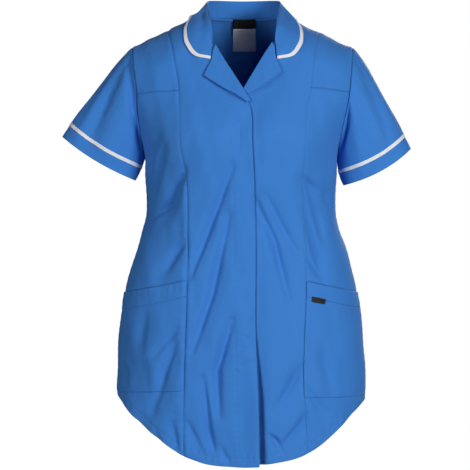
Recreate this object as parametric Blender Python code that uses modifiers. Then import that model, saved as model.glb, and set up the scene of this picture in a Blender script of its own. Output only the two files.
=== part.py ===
"""Short-sleeved maternity work tunic, worn shape with nobody in it.

Metres, +Z up, the front faces -Y. Right and left are the wearer's, so the right side is at -X.
The origin is the middle of the neck, level with the neck ends of the shoulder seams.
"""
from collections import namedtuple
from math import pi

import bpy
import numpy as np

# Cloth and seams
CLOTH = 0.0012
TRIM = 0.0011
LABEL = 0.0006
SEAM_GAP = 0.0003
SHOULDER_SEAM_GAP = 0.0006
LAY = 0.0005
BAND_STEP = 0.0003

# Body of the garment
SQUARENESS = 2.35
CENTRE_X = 0.003
NECK_HALF = 0.072
NECK_DEPTH_SHARE = 0.85
SHOULDER_ROUND = 0.070
ARMPIT_Z = -0.262
HEM_CENTRE_X = 0.004
BACK_NECK_RISE = 0.004

# Bust fullness
BUST_X = 0.085
BUST_Z = -0.228
BUST_RADIUS = 0.062
BUST_RISE = 0.009

# Where the right front laps over the left
UNDERLAP_DROP = 0.0028
UNDERLAP_EASE = 0.020
UNDERLAP_MARGIN = 0.004
FLARE_RISE = 0.006
FLARE_TOP_Z = -0.60
FLARE_LENGTH = 0.14
FLARE_WIDTH = 0.030

# Collar
ROLL_RADIUS = 0.0019
COLLAR_LIFT = 0.0028
STAND_LIFT = 0.0012
FALL_BULGE = 0.0032
LAPEL_CLEARANCE = 0.0016
WRAP = 0.0030
PIPING_WIDTH = 0.0066
PIPING_GAP = 0.0006
PIPING_LIFT = 0.0002

# Sleeves
SLEEVE_GAP = 0.0006
SLEEVE_BAND = 0.0240
CAP_EASE = 0.066
CUFF_EASE = 0.070
SLEEVE_STAND = 0.25
UNDERARM_DROP = 0.8

Section = namedtuple("Section", "z half_right half_left front back")
SECTIONS = (
    Section(0.040, 0.252, 0.252, 0.074, 0.080),
    Section(0.000, 0.245, 0.246, 0.078, 0.085),
    Section(-0.061, 0.235, 0.237, 0.086, 0.098),
    Section(-0.100, 0.228, 0.231, 0.099, 0.106),
    Section(-0.144, 0.2185, 0.2215, 0.114, 0.112),
    Section(-0.183, 0.203, 0.203, 0.128, 0.114),
    Section(-0.218, 0.1895, 0.186, 0.138, 0.113),
    Section(-0.248, 0.181, 0.1765, 0.141, 0.111),
    Section(-0.296, 0.1795, 0.173, 0.139, 0.105),
    Section(-0.340, 0.176, 0.172, 0.136, 0.099),
    Section(-0.370, 0.1776, 0.174, 0.134, 0.097),
    Section(-0.400, 0.185, 0.1813, 0.134, 0.098),
    Section(-0.444, 0.198, 0.196, 0.136, 0.103),
    Section(-0.488, 0.211, 0.207, 0.139, 0.110),
    Section(-0.533, 0.2194, 0.2150, 0.142, 0.117),
    Section(-0.592, 0.2250, 0.2222, 0.145, 0.123),
    Section(-0.651, 0.2283, 0.2257, 0.148, 0.127),
    Section(-0.700, 0.2310, 0.2262, 0.150, 0.129),
    Section(-0.860, 0.2350, 0.2290, 0.152, 0.131),
)

# Shoulder seams run level to their neck point, then fall by so much per metre
Shoulder = namedtuple("Shoulder", "level fall")
SHOULDERS = {"right": Shoulder(0.0850, 0.490), "left": Shoulder(0.0720, 0.466)}

# Share of the half width at which the sleeve is set in
Armhole = namedtuple("Armhole", "z share")
ARMHOLE = (
    Armhole(-0.060, 0.857),
    Armhole(-0.100, 0.868),
    Armhole(-0.144, 0.880),
    Armhole(-0.183, 0.930),
    Armhole(-0.218, 0.975),
    Armhole(-0.245, 0.995),
    Armhole(-0.262, 1.000),
)

# Half widths of the front edges and princess seams at each height
Seam = namedtuple("Seam", "z x")
PRINCESS = {
    "right": (
        Seam(-0.030, -0.1350), Seam(-0.081, -0.1246), Seam(-0.128, -0.1159), Seam(-0.183, -0.1108),
        Seam(-0.254, -0.1070), Seam(-0.308, -0.1000), Seam(-0.432, -0.0981), Seam(-0.520, -0.0987),
        Seam(-0.608, -0.1021), Seam(-0.696, -0.1038), Seam(-0.800, -0.1046),
    ),
    "left": (
        Seam(-0.030, 0.1420), Seam(-0.071, 0.1333), Seam(-0.133, 0.1240), Seam(-0.192, 0.1134),
        Seam(-0.263, 0.1088), Seam(-0.307, 0.1089), Seam(-0.378, 0.1136), Seam(-0.503, 0.1138),
        Seam(-0.591, 0.1099), Seam(-0.661, 0.1089), Seam(-0.732, 0.1124), Seam(-0.800, 0.1170),
    ),
}
FRONT_EDGE = {
    "right": (
        Seam(0.000, -0.0690), Seam(-0.020, -0.0660), Seam(-0.040, -0.0600), Seam(-0.0595, -0.0534),
        Seam(-0.090, -0.0346), Seam(-0.120, -0.0160), Seam(-0.148, 0.0010), Seam(-0.168, 0.0110),
        Seam(-0.180, 0.0143), Seam(-0.238, 0.0170), Seam(-0.326, 0.0215), Seam(-0.432, 0.0233),
        Seam(-0.573, 0.0232), Seam(-0.643, 0.0258), Seam(-0.730, 0.0283), Seam(-0.813, 0.0301),
    ),
    "left": (
        Seam(0.000, 0.0750), Seam(-0.020, 0.0722), Seam(-0.040, 0.0680), Seam(-0.0538, 0.0620),
        Seam(-0.0654, 0.0520), Seam(-0.100, 0.0305), Seam(-0.149, 0.0022), Seam(-0.175, -0.0110),
        Seam(-0.200, -0.0165), Seam(-0.326, -0.0165), Seam(-0.813, -0.0140),
    ),
}

# Curved shirt-tail hem: height of each side at a distance from its centre
Hem = namedtuple("Hem", "x right left")
HEM = (
    Hem(0.000, -0.8140, -0.8121), Hem(0.027, -0.8127, -0.8106), Hem(0.049, -0.8111, -0.8074),
    Hem(0.070, -0.8079, -0.8040), Hem(0.091, -0.8013, -0.7991), Hem(0.112, -0.7931, -0.7911),
    Hem(0.134, -0.7798, -0.7781), Hem(0.155, -0.7650, -0.7616), Hem(0.177, -0.7487, -0.7422),
    Hem(0.190, -0.7374, -0.7300), Hem(0.202, -0.7278, -0.7191), Hem(0.213, -0.7168, -0.7101),
    Hem(0.226, -0.7035, -0.7026), Hem(0.236, -0.6955, -0.6981),
)

# Slanting lines across a side front: height at the princess seam, fall per metre outwards
Slant = namedtuple("Slant", "x z fall")
SLANTS = {
    "right": {
        "yoke": Slant(0.1166, -0.1462, 0.055),
        "pocket_top": Slant(0.1010, -0.4866, 0.205),
        "band": Slant(0.1010, -0.5145, 0.228),
        "pocket_bottom": Slant(0.1010, -0.6805, 0.070),
    },
    "left": {
        "yoke": Slant(0.1230, -0.1405, 0.088),
        "pocket_top": Slant(0.1100, -0.4867, 0.232),
        "band": Slant(0.1100, -0.5135, 0.224),
        "pocket_bottom": Slant(0.1100, -0.6930, 0.030),
    },
}
BACK_YOKE_Z = -0.072
BACK_YOKE_FALL = 0.6

# Soft folds: three points, half width and depth (troughs are negative)
Fold = namedtuple("Fold", "x1 z1 x2 z2 x3 z3 width depth")
FRONT_FOLDS = (
    Fold(-0.016, -0.285, -0.054, -0.382, -0.093, -0.481, 0.013, -0.0050),
    Fold(-0.024, -0.373, -0.052, -0.508, -0.087, -0.608, 0.013, -0.0050),
    Fold(-0.018, -0.557, -0.043, -0.643, -0.041, -0.722, 0.014, -0.0050),
    Fold(-0.069, -0.657, -0.058, -0.752, -0.050, -0.790, 0.013, -0.0045),
    Fold(-0.103, -0.295, -0.131, -0.350, -0.150, -0.380, 0.015, -0.0060),
    Fold(-0.105, -0.421, -0.121, -0.443, -0.150, -0.480, 0.015, -0.0045),
    Fold(-0.121, -0.600, -0.129, -0.630, -0.157, -0.716, 0.014, -0.0050),
    Fold(0.024, -0.343, 0.060, -0.416, 0.084, -0.520, 0.014, -0.0055),
    Fold(0.044, -0.336, 0.074, -0.391, 0.101, -0.441, 0.012, -0.0040),
    Fold(0.107, -0.638, 0.086, -0.675, 0.070, -0.718, 0.014, -0.0050),
    Fold(0.115, -0.725, 0.093, -0.761, 0.070, -0.790, 0.013, -0.0045),
    Fold(0.113, -0.304, 0.132, -0.340, 0.150, -0.416, 0.014, -0.0050),
    Fold(0.115, -0.355, 0.133, -0.420, 0.149, -0.480, 0.014, -0.0045),
    Fold(0.145, -0.609, 0.152, -0.640, 0.161, -0.681, 0.014, -0.0045),
)
BACK_FOLDS = (
    Fold(0.030, -0.250, 0.060, -0.340, 0.095, -0.430, 0.015, -0.0050),
    Fold(-0.020, -0.270, -0.048, -0.360, -0.090, -0.450, 0.015, -0.0050),
    Fold(0.010, -0.420, 0.030, -0.560, 0.034, -0.700, 0.016, -0.0060),
    Fold(-0.060, -0.440, -0.075, -0.570, -0.080, -0.720, 0.016, -0.0060),
    Fold(0.085, -0.470, 0.110, -0.600, 0.120, -0.740, 0.016, -0.0055),
    Fold(-0.130, -0.330, -0.150, -0.450, -0.150, -0.580, 0.016, -0.0050),
    Fold(0.120, -0.300, 0.150, -0.380, 0.160, -0.470, 0.015, -0.0050),
)

# Half of the collar, from the centre back to the notch. x is from the centre line.
Collar = namedtuple("Collar", "at seam_x seam_z roll_x roll_y roll_z edge_x edge_z behind")
COLLAR = (
    Collar(0.00, 0.0000, 0.0040, 0.0000, 0.0660, 0.0345, 0.0000, -0.0120, True),
    Collar(0.14, 0.0300, 0.0036, 0.0290, 0.0600, 0.0342, 0.0380, -0.0135, True),
    Collar(0.28, 0.0560, 0.0018, 0.0530, 0.0400, 0.0320, 0.0700, -0.0165, True),
    Collar(0.42, 0.0705, 0.0001, 0.0668, 0.0120, 0.0270, 0.0905, -0.0145, True),
    Collar(0.50, 0.0720, -0.0001, 0.0672, -0.0050, 0.0210, 0.0935, -0.0120, False),
    Collar(0.62, 0.0710, -0.0080, 0.0648, -0.0330, 0.0040, 0.1045, -0.0300, False),
    Collar(0.74, 0.0670, -0.0200, 0.0620, -0.0600, -0.0130, 0.1068, -0.0480, False),
    Collar(0.84, 0.0625, -0.0360, 0.0595, -0.0765, -0.0330, 0.1035, -0.0650, False),
    Collar(0.93, 0.0590, -0.0490, 0.0575, -0.0845, -0.0490, 0.0870, -0.0850, False),
    Collar(1.00, 0.0568, -0.0595, 0.0565, -0.0880, -0.0600, 0.0600, -0.0915, False),
)

# Lapels: share of the way down, roll line and outer edge
Lapel = namedtuple("Lapel", "at roll_x roll_z edge_x edge_z")
LAPELS = {
    "right": (
        Lapel(0.00, -0.0515, -0.0630, -0.0553, -0.0945),
        Lapel(0.20, -0.0390, -0.0850, -0.0620, -0.1080),
        Lapel(0.40, -0.0250, -0.1080, -0.0675, -0.1225),
        Lapel(0.60, -0.0110, -0.1305, -0.0400, -0.1405),
        Lapel(0.80, 0.0010, -0.1500, -0.0120, -0.1560),
        Lapel(1.00, 0.0115, -0.1690, 0.0085, -0.1700),
    ),
    "left": (
        Lapel(0.00, 0.0570, -0.0590, 0.0610, -0.0910),
        Lapel(0.20, 0.0485, -0.0720, 0.0660, -0.1025),
        Lapel(0.40, 0.0380, -0.0895, 0.0690, -0.1145),
        Lapel(0.60, 0.0260, -0.1100, 0.0480, -0.1305),
        Lapel(0.80, 0.0160, -0.1270, 0.0290, -0.1440),
        Lapel(1.00, 0.0085, -0.1400, 0.0130, -0.1520),
    ),
}

# Sleeve hem: outer and inner end of its long axis
Cuff = namedtuple("Cuff", "outer_x outer_z inner_x inner_z y half_depth bow")
CUFFS = {
    "right": Cuff(-0.3312, -0.2240, -0.1965, -0.3050, -0.010, 0.040, 0.0065),
    "left": Cuff(0.3112, -0.2460, 0.1873, -0.3140, -0.010, 0.040, 0.0095),
}

# Tab on the left pocket and labels at the back neck
TAB = ((0.1218, -0.5240), (0.1454, -0.5288), (0.1473, -0.5200), (0.1228, -0.5143))
LABEL_X = (-0.0171, 0.0270)
LABEL_TOP_Z = 0.0030
LABEL_SPLIT_Z = -0.0138
LABEL_BOTTOM_Z = -0.0549
LABEL_SLACK = 0.0015

SIDES = {"right": -1, "left": 1}

# Rows and columns of the panels. The rows of a front run between hem, pocket bottom, band, pocket
# top and armpit.
FRONT_ROWS = [4, 6, 1, 9]
FRONT_COLUMNS = 9
SIDE_COLUMNS = 8
YOKE_ROWS = 7
YOKE_COLUMNS = 5
ARMPIT_ROWS = 4
BACK_ROWS = 20
BACK_COLUMNS = 20
BACK_ARMPIT_ROWS = 6
SLEEVE_ROWS = 9
CURVE_STEPS = 80

COLOURS = {
    "cloth": (0.050, 0.205, 0.560),
    "piping": (0.700, 0.720, 0.800),
    "black": (0.010, 0.010, 0.012),
    "grey": (0.360, 0.360, 0.370),
}
ROUGHNESS = 0.85


def smooth(at, xs, ys):
    """Cubic curve through the points, held level past its ends."""
    xs, ys = np.asarray(xs, float), np.asarray(ys, float)
    if xs[0] > xs[-1]:
        xs, ys = xs[::-1], ys[::-1]
    slope = np.gradient(ys, xs)
    at = np.clip(np.asarray(at, float), xs[0], xs[-1])
    i = np.clip(np.searchsorted(xs, at) - 1, 0, len(xs) - 2)
    step = xs[i + 1] - xs[i]
    t = (at - xs[i]) / step
    ends = (1 + 2 * t) * (1 - t) ** 2 * ys[i] + t * t * (3 - 2 * t) * ys[i + 1]
    return ends + t * (1 - t) * step * ((1 - t) * slope[i] - t * slope[i + 1])


def column(table, key, name, at):
    """Curve through one column of a table, read at a value of its key column."""
    return smooth(at, [getattr(row, key) for row in table], [getattr(row, name) for row in table])


def mix(a, b, t):
    return a + (b - a) * t


def ease(t):
    t = np.clip(t, 0, 1)
    return t * t * (3 - 2 * t)


def unit(v):
    return v / np.maximum(np.linalg.norm(v, axis=-1, keepdims=True), 1e-12)


def half_width(z, side):
    right = column(SECTIONS, "z", "half_right", z)
    left = column(SECTIONS, "z", "half_left", z)
    return np.where(np.asarray(side) < 0, right, left)


def shoulder_line(x):
    right, left = (row.fall * np.maximum(np.abs(x - CENTRE_X) - row.level, 0)
                   for row in (SHOULDERS["right"], SHOULDERS["left"]))
    return -np.where(np.asarray(x) < 0, right, left)


def hem_line(side):
    return lambda x: column(HEM, "x", side, np.abs(x - HEM_CENTRE_X))


def back_hem_line(x):
    return (hem_line("right")(x) + hem_line("left")(x)) / 2


def slant(side, name):
    """A line across the fronts, level inside the princess seam."""
    row = SLANTS[side][name]
    return lambda x: row.z - row.fall * np.maximum(np.abs(x) - row.x, 0)


def armpit_line(x):
    return ARMPIT_Z + 0 * x


def back_yoke_line(x):
    return BACK_YOKE_Z - BACK_YOKE_FALL * x * x


def back_top_line(x):
    """Back neck inside the shoulder seams, shoulder seams outside."""
    across = np.clip((x - CENTRE_X) / NECK_HALF, -1, 1)
    return shoulder_line(x) + BACK_NECK_RISE * (1 - across ** 2)


def angle_of(x, z, behind=False):
    """Angle round the body, 0 at the centre front, of a point seen at x and z."""
    share = np.clip(np.abs(x) / half_width(z, np.sign(x)), 0, 1)
    depth = (1 - share ** SQUARENESS) ** (1 / SQUARENESS)
    angle = np.arctan2(share, depth) * np.where(np.asarray(x) < 0, -1, 1)
    return np.where(behind, pi - angle, angle)


def body(angle, z):
    """Plain worn form: rounded sections that close over the shoulders round an oval neck."""
    across, deep = np.sin(angle), np.cos(angle)
    size = (np.abs(across) ** SQUARENESS + np.abs(deep) ** SQUARENESS) ** (1 / SQUARENESS)
    across, deep = across / size, deep / size
    x = across * half_width(z, across)
    front = column(SECTIONS, "z", "front", z)
    back = column(SECTIONS, "z", "back", z)
    down = np.clip((shoulder_line(x) - z) / SHOULDER_ROUND, 0, 1)
    turn = np.sqrt(np.maximum(1 - (1 - down) ** 2, 0))
    off_centre = np.clip((x - CENTRE_X) / NECK_HALF, -1, 1)
    neck = NECK_DEPTH_SHARE * np.sqrt(1 - off_centre ** 2)
    y = -deep * np.where(deep > 0, front, back) * (neck + (1 - neck) * turn)
    return np.stack([x, y, z + 0 * x], -1)


def normal(angle, z):
    step = 0.0008
    turn = body(angle + step, z) - body(angle - step, z)
    rise = body(angle, z) - body(angle, z - step)
    return unit(np.cross(turn, rise))


def creases(x, z, folds):
    """Depth of all the folds at a point."""
    total = np.zeros(np.broadcast(x, z).shape)
    for fold in folds:
        best = np.full(total.shape, 9.0)
        along = np.zeros(total.shape)
        points = ((fold.x1, fold.z1), (fold.x2, fold.z2), (fold.x3, fold.z3))
        for leg in range(2):
            (ax, az), (bx, bz) = points[leg], points[leg + 1]
            length = np.hypot(bx - ax, bz - az)
            t = np.clip(((x - ax) * (bx - ax) + (z - az) * (bz - az)) / length ** 2, 0, 1)
            away = np.hypot(x - mix(ax, bx, t), z - mix(az, bz, t))
            along = np.where(away < best, (leg + t) / 2, along)
            best = np.minimum(best, away)
        total += fold.depth * np.exp(-(best / fold.width) ** 2) * np.sin(pi * mix(0.12, 0.88, along))
    return total


def relief(angle, z):
    """How far the cloth stands out of the plain form."""
    point = body(angle, z)
    x = point[..., 0]
    away = ((np.abs(x - CENTRE_X) - BUST_X) ** 2 + (z - BUST_Z) ** 2) / BUST_RADIUS ** 2
    front = BUST_RISE * np.exp(-away) + creases(x, z, FRONT_FOLDS)
    return np.where(np.cos(angle) > 0, front, creases(x, z, BACK_FOLDS))


def cloth(angle, z, lift=0.0):
    return body(angle, z) + normal(angle, z) * (relief(angle, z) + lift)[..., None]


def seam_angle(table):
    return lambda z: angle_of(column(table, "z", "x", z), z)


def armhole_angle(sign, behind=False):
    """Edge of a panel at the armhole, then down the side seam."""
    def angle(z):
        share = column(ARMHOLE, "z", "share", z)
        return angle_of(sign * share * half_width(z, sign), z, behind)
    return angle


def levels(lines, counts, powers=None):
    """Heights of the rows of a panel, as functions of x, from its bottom line to its top line."""
    rows = [lines[0]]
    powers = powers or [1] * len(counts)
    for low, high, count, power in zip(lines, lines[1:], counts, powers):
        for k in range(1, count + 1):
            t = 1 - (1 - k / count) ** power
            rows.append(lambda x, low=low, high=high, t=t: mix(low(x), high(x), t))
    return rows


def shifted(line, by):
    return lambda x: line(x) + by


def panel(edge_a, edge_b, rows, columns, lift=0.0, shoulder=None):
    """Grid of points between two edges, given as angles at a height, and the rows."""
    share = np.linspace(0, 1, columns + 1)
    grid = []
    for row in rows:
        x = body(mix(edge_a(ARMPIT_Z), edge_b(ARMPIT_Z), share), np.full(share.shape, ARMPIT_Z))[:, 0]
        for _ in range(25):
            z = row(x)
            first, last = edge_a(z), edge_b(z)
            reach = np.linalg.norm(body(last, z) - body(first, z), axis=-1)
            trim = SEAM_GAP / 2 * np.abs(last - first) / np.maximum(reach, 0.01)
            angle = mix(first + trim, last - trim, share)
            x = body(angle, z)[:, 0]
        grid.append(cloth(angle, z, lift(x, z) if callable(lift) else lift + 0 * x))
    grid = np.array(grid)
    if shoulder:
        half = SHOULDER_SEAM_GAP / 2
        grid[-1, :, 1] = np.where(np.abs(grid[-1, :, 1]) < half, shoulder * half, grid[-1, :, 1])
    return grid


def patch(xs, zs, lift, behind=False):
    """Points on the cloth at a grid of x and z."""
    return cloth(angle_of(xs, zs, behind), zs, lift + 0 * xs)


def underlap(x, z):
    """The left front drops behind the right front."""
    edge = column(FRONT_EDGE["right"], "z", "x", z)
    return -UNDERLAP_DROP * ease((edge + UNDERLAP_EASE + UNDERLAP_MARGIN - x) / UNDERLAP_EASE)


def flare(x, z):
    """The right front's edge stands away near the hem."""
    edge = column(FRONT_EDGE["right"], "z", "x", z)
    inwards = ease((x - edge + FLARE_WIDTH) / FLARE_WIDTH)
    return FLARE_RISE * inwards * ease((FLARE_TOP_Z - z) / FLARE_LENGTH)


def beside(grid):
    """Each column of a grid with the columns on both sides of it."""
    return np.stack([np.roll(grid, 1, 1), grid, np.roll(grid, -1, 1)])


def rest_on_body(grid, lift):
    """Move a grid of points out until they clear the cloth by the lift, evenly across its columns."""
    angles, roots = np.meshgrid(np.linspace(-pi, pi, 181), np.linspace(0, 0.44, 80))
    drops = roots ** 2
    heights = -drops
    for _ in range(12):
        heights = shoulder_line(body(angles, heights)[..., 0]) - drops
    upright = normal(angles, heights).reshape(-1, 3)
    ground = cloth(angles, heights).reshape(-1, 3)
    for _ in range(4):
        nearest = ((grid[:, :, None] - ground) ** 2).sum(-1).argmin(-1)
        height = ((grid - ground[nearest]) * upright[nearest]).sum(-1)
        push = beside(np.maximum(lift - height, 0)).max(0)
        grid = grid + unit(beside(upright[nearest]).mean(0)) * beside(push).mean(0)[..., None]
    return grid


def collar_lines(at):
    """Seam, roll and outer edge of the collar. at runs from -1 at the right notch to 1."""
    side = np.where(at < 0, -1, 1)
    anchors = {"seam": [], "roll": [], "edge": []}
    for row in COLLAR:
        seam_angle_here = angle_of(row.seam_x + CENTRE_X, row.seam_z, row.behind)
        edge_angle_here = angle_of(row.edge_x + CENTRE_X, row.edge_z, row.behind)
        seam = body(seam_angle_here, np.asarray(row.seam_z))
        seam = seam + normal(seam_angle_here, np.asarray(row.seam_z)) * STAND_LIFT + (0, 0, SEAM_GAP)
        edge = cloth(edge_angle_here, np.asarray(row.edge_z), np.asarray(COLLAR_LIFT))
        anchors["seam"].append(seam - (CENTRE_X, 0, 0))
        anchors["roll"].append(np.array((row.roll_x, row.roll_y, row.roll_z)))
        anchors["edge"].append(edge - (CENTRE_X, 0, 0))
    keys = [row.at for row in COLLAR]
    lines = {}
    for name, points in anchors.items():
        points = np.array(points)
        points[0, 0] = 0
        axes = [smooth(np.abs(at), keys, points[:, axis]) for axis in range(3)]
        lines[name] = np.stack([axes[0] * side + CENTRE_X, axes[1], axes[2]], -1)
    return lines


def collar_grid(columns, stand_rows, roll_rows, fall_rows):
    """Stand, roll and fall as rows of points, and the strip along the outer edge."""
    at = np.linspace(-1, 1, columns + 1)
    lines = collar_lines(at)
    seam, roll, edge = lines["seam"], lines["roll"], lines["edge"]
    up = unit(roll - seam)
    out = edge - roll
    out = unit(out - up * (out * up).sum(-1, keepdims=True))
    rows = [mix(seam, roll - out * ROLL_RADIUS, k / stand_rows) for k in range(stand_rows)]
    for k in range(roll_rows + 1):
        turn = pi * k / roll_rows
        rows.append(roll + ROLL_RADIUS * (up * np.sin(turn) - out * np.cos(turn)))
    start = rows[-1]
    length = np.linalg.norm(edge - start, axis=-1, keepdims=True)
    inner = 1 - PIPING_WIDTH / length
    reach = inner - SEAM_GAP / length
    shares = [reach * k / fall_rows for k in range(fall_rows + 1)] + [mix(inner, 1, 0.5), 1]
    fall = np.array([mix(start, edge, t) + up * FALL_BULGE * np.sin(pi * t) for t in shares])
    fall = rest_on_body(fall, COLLAR_LIFT)
    last = fall[fall_rows]
    onward = unit(fall[-1] - last)
    bend = np.linalg.norm(np.cross(unit(last - fall[fall_rows - 1]), onward), axis=-1, keepdims=True)
    strip = [last + onward * (PIPING_GAP + TRIM * bend), *fall[fall_rows + 1:]]
    return np.array(rows[:-1] + list(fall[:fall_rows + 1])), np.array(strip)


def lapel_grid(side, rows, columns):
    """A lapel lies on its front and wraps round the front's edge at the roll line."""
    sign = SIDES[side]
    at = np.linspace(0, 1, rows + 1)
    roll_x = column(LAPELS[side], "at", "roll_x", at)
    roll_z = column(LAPELS[side], "at", "roll_z", at)
    edge_x = np.interp(at, [row.at for row in LAPELS[side]], [row.edge_x for row in LAPELS[side]])
    edge_z = np.interp(at, [row.at for row in LAPELS[side]], [row.edge_z for row in LAPELS[side]])
    top = TRIM + LAPEL_CLEARANCE
    shares = [0.0, 0.0, 0.0] + list(np.linspace(0, 1, columns + 1)[1:])
    lifts = [-LAY, top / 2 - LAY / 2, top] + [top] * columns
    insets = [WRAP, WRAP + TRIM, WRAP] + [0.0] * columns
    grid = []
    for share, lift, inset in zip(shares, lifts, insets):
        x = mix(roll_x, edge_x, share) - sign * inset
        z = mix(roll_z, edge_z, share)
        if side == "left":
            lift = lift + underlap(x, z)
        grid.append(patch(x, z, lift))
    return np.array(grid)


def armhole_ring(side, grids):
    """Edges of the panels round an armhole, from the shoulder tip forwards, down, and up behind."""
    front, back = (0, -1) if side == "right" else (-1, 0)
    edges = (
        grids[f"shoulder_yoke_{side}"][::-1, front],
        grids[f"side_front_{side}"][:-ARMPIT_ROWS - 2:-1, front],
        grids["back"][-BACK_ARMPIT_ROWS - 1:, back],
        grids["back_yoke"][:, back],
    )
    ring = []
    for edge, before in zip(edges, (edges[-1],) + edges[:-1]):
        ring.append((before[-1] + edge[0]) / 2)
        ring.extend(edge[1:-1])
    turn = ARMPIT_ROWS + YOKE_ROWS
    return np.array(ring), turn


def sleeve_curves(side, grids):
    """Lines down a sleeve from each point of its armhole, as points at even shares of their length."""
    sign = SIDES[side]
    cuff = CUFFS[side]
    start, pit = armhole_ring(side, grids)
    after = np.roll(start, -1, 0)
    steps = np.linalg.norm(after - start, axis=-1)
    front, behind = steps[:pit].sum(), steps[pit:].sum()
    run = np.concatenate([[0], np.cumsum(steps)[:-1]])
    turn = np.where(run < front - 1e-9, run / front, 1 + (run - front) / behind)[:, None] * pi
    upright = normal(angle_of(start[:, 0], start[:, 2], turn[:, 0] > pi), start[:, 2])
    away = unit(np.cross(upright, after - np.roll(start, 1, 0)))
    away *= np.sign((away * (sign, 0, 0.2)).sum(-1, keepdims=True))
    lower = ease((1 - np.cos(turn)) / 1.2)
    start = start + away * SLEEVE_GAP + upright * SLEEVE_GAP * lower
    outer = np.array((cuff.outer_x, cuff.y, cuff.outer_z))
    inner = np.array((cuff.inner_x, cuff.y, cuff.inner_z))
    across = (inner - outer) / 2
    axis = unit(np.array((across[2] * -sign, 0, across[0] * sign)))
    end = (outer + inner) / 2 - across * np.cos(turn)
    end = end + np.array((0, -cuff.half_depth, 0)) * np.sin(turn)
    end = end + axis * cuff.bow * np.maximum(np.sin(turn), 0) ** 2
    slope = unit(np.array((sign, 0, -SHOULDERS[side].fall)))
    under = ease(-np.cos(turn))
    hang = unit(mix(axis, np.array((0, 0, -1.0)), UNDERARM_DROP * under))
    leave = unit(mix(slope, unit(mix(hang, upright, SLEEVE_STAND * (1 - 0.5 * under))), lower))
    t = np.linspace(0, 1, CURVE_STEPS + 1)[:, None, None]
    length = np.linalg.norm(end - start, axis=-1, keepdims=True)
    length = length / length.max()
    return ((1 + 2 * t) * (1 - t) ** 2 * start + t * t * (3 - 2 * t) * end
            + t * (1 - t) ** 2 * leave * CAP_EASE * length
            - t * t * (1 - t) * axis * CUFF_EASE * mix(length, 1, under))


def sleeve_grid(curve, hem_distances, lift=0.0):
    """Rings of a sleeve at distances from its hem; the whole length stands for the armhole."""
    runs = np.linalg.norm(np.diff(curve, axis=0), axis=-1)
    from_hem = np.concatenate([np.cumsum(runs[::-1], axis=0)[::-1], np.zeros((1, runs.shape[1]))])
    rings = []
    for share, distance in hem_distances:
        ring = np.empty(curve.shape[1:])
        for k in range(curve.shape[1]):
            wanted = mix(from_hem[0, k], distance, share)
            for axis in range(3):
                ring[k, axis] = np.interp(wanted, from_hem[::-1, k], curve[::-1, k, axis])
        rings.append(ring + unit(ring - ring.mean(0)) * lift)
    return np.array(rings)


def add_sheet(name, grid, thickness, colour, round_columns=False, facing=None):
    """Mesh from rows of points, given its thickness by a Solidify modifier."""
    rows, columns = grid.shape[:2]
    faces = []
    across = columns if round_columns else columns - 1
    for r in range(rows - 1):
        for c in range(across):
            d = (c + 1) % columns
            faces.append((r * columns + c, r * columns + d, (r + 1) * columns + d, (r + 1) * columns + c))
    mesh = bpy.data.meshes.new(name)
    mesh.from_pydata(grid.reshape(-1, 3).tolist(), [], faces)
    mesh.update()
    if facing is not None:
        points = grid.reshape(-1, 3)
        middles = np.array([polygon.center for polygon in mesh.polygons])
        normals = np.array([polygon.normal for polygon in mesh.polygons])
        if (normals * facing(middles, points)).sum() < 0:
            mesh.flip_normals()
    mesh.shade_smooth()
    thing = bpy.data.objects.new(name, mesh)
    wall = thing.modifiers.new("Wall", "SOLIDIFY")
    wall.thickness = thickness
    wall.offset = -1
    mesh.materials.append(MATERIALS[colour])
    COLLECTION.objects.link(thing)
    return thing


def outwards(middles, points):
    return middles - points.mean(0)


def upwards(middles, points):
    return np.tile((0.0, 0.0, 1.0), (len(middles), 1))


def forwards(middles, points):
    return np.tile((0.0, -1.0, 0.0), (len(middles), 1))


def make_materials():
    made = {}
    for name, colour in COLOURS.items():
        material = bpy.data.materials.new(name)
        material.use_nodes = True
        shader = material.node_tree.nodes["Principled BSDF"]
        shader.inputs["Base Color"].default_value = (*colour, 1)
        shader.inputs["Roughness"].default_value = ROUGHNESS
        shader.inputs["Metallic"].default_value = 0
        made[name] = material
    return made


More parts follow.
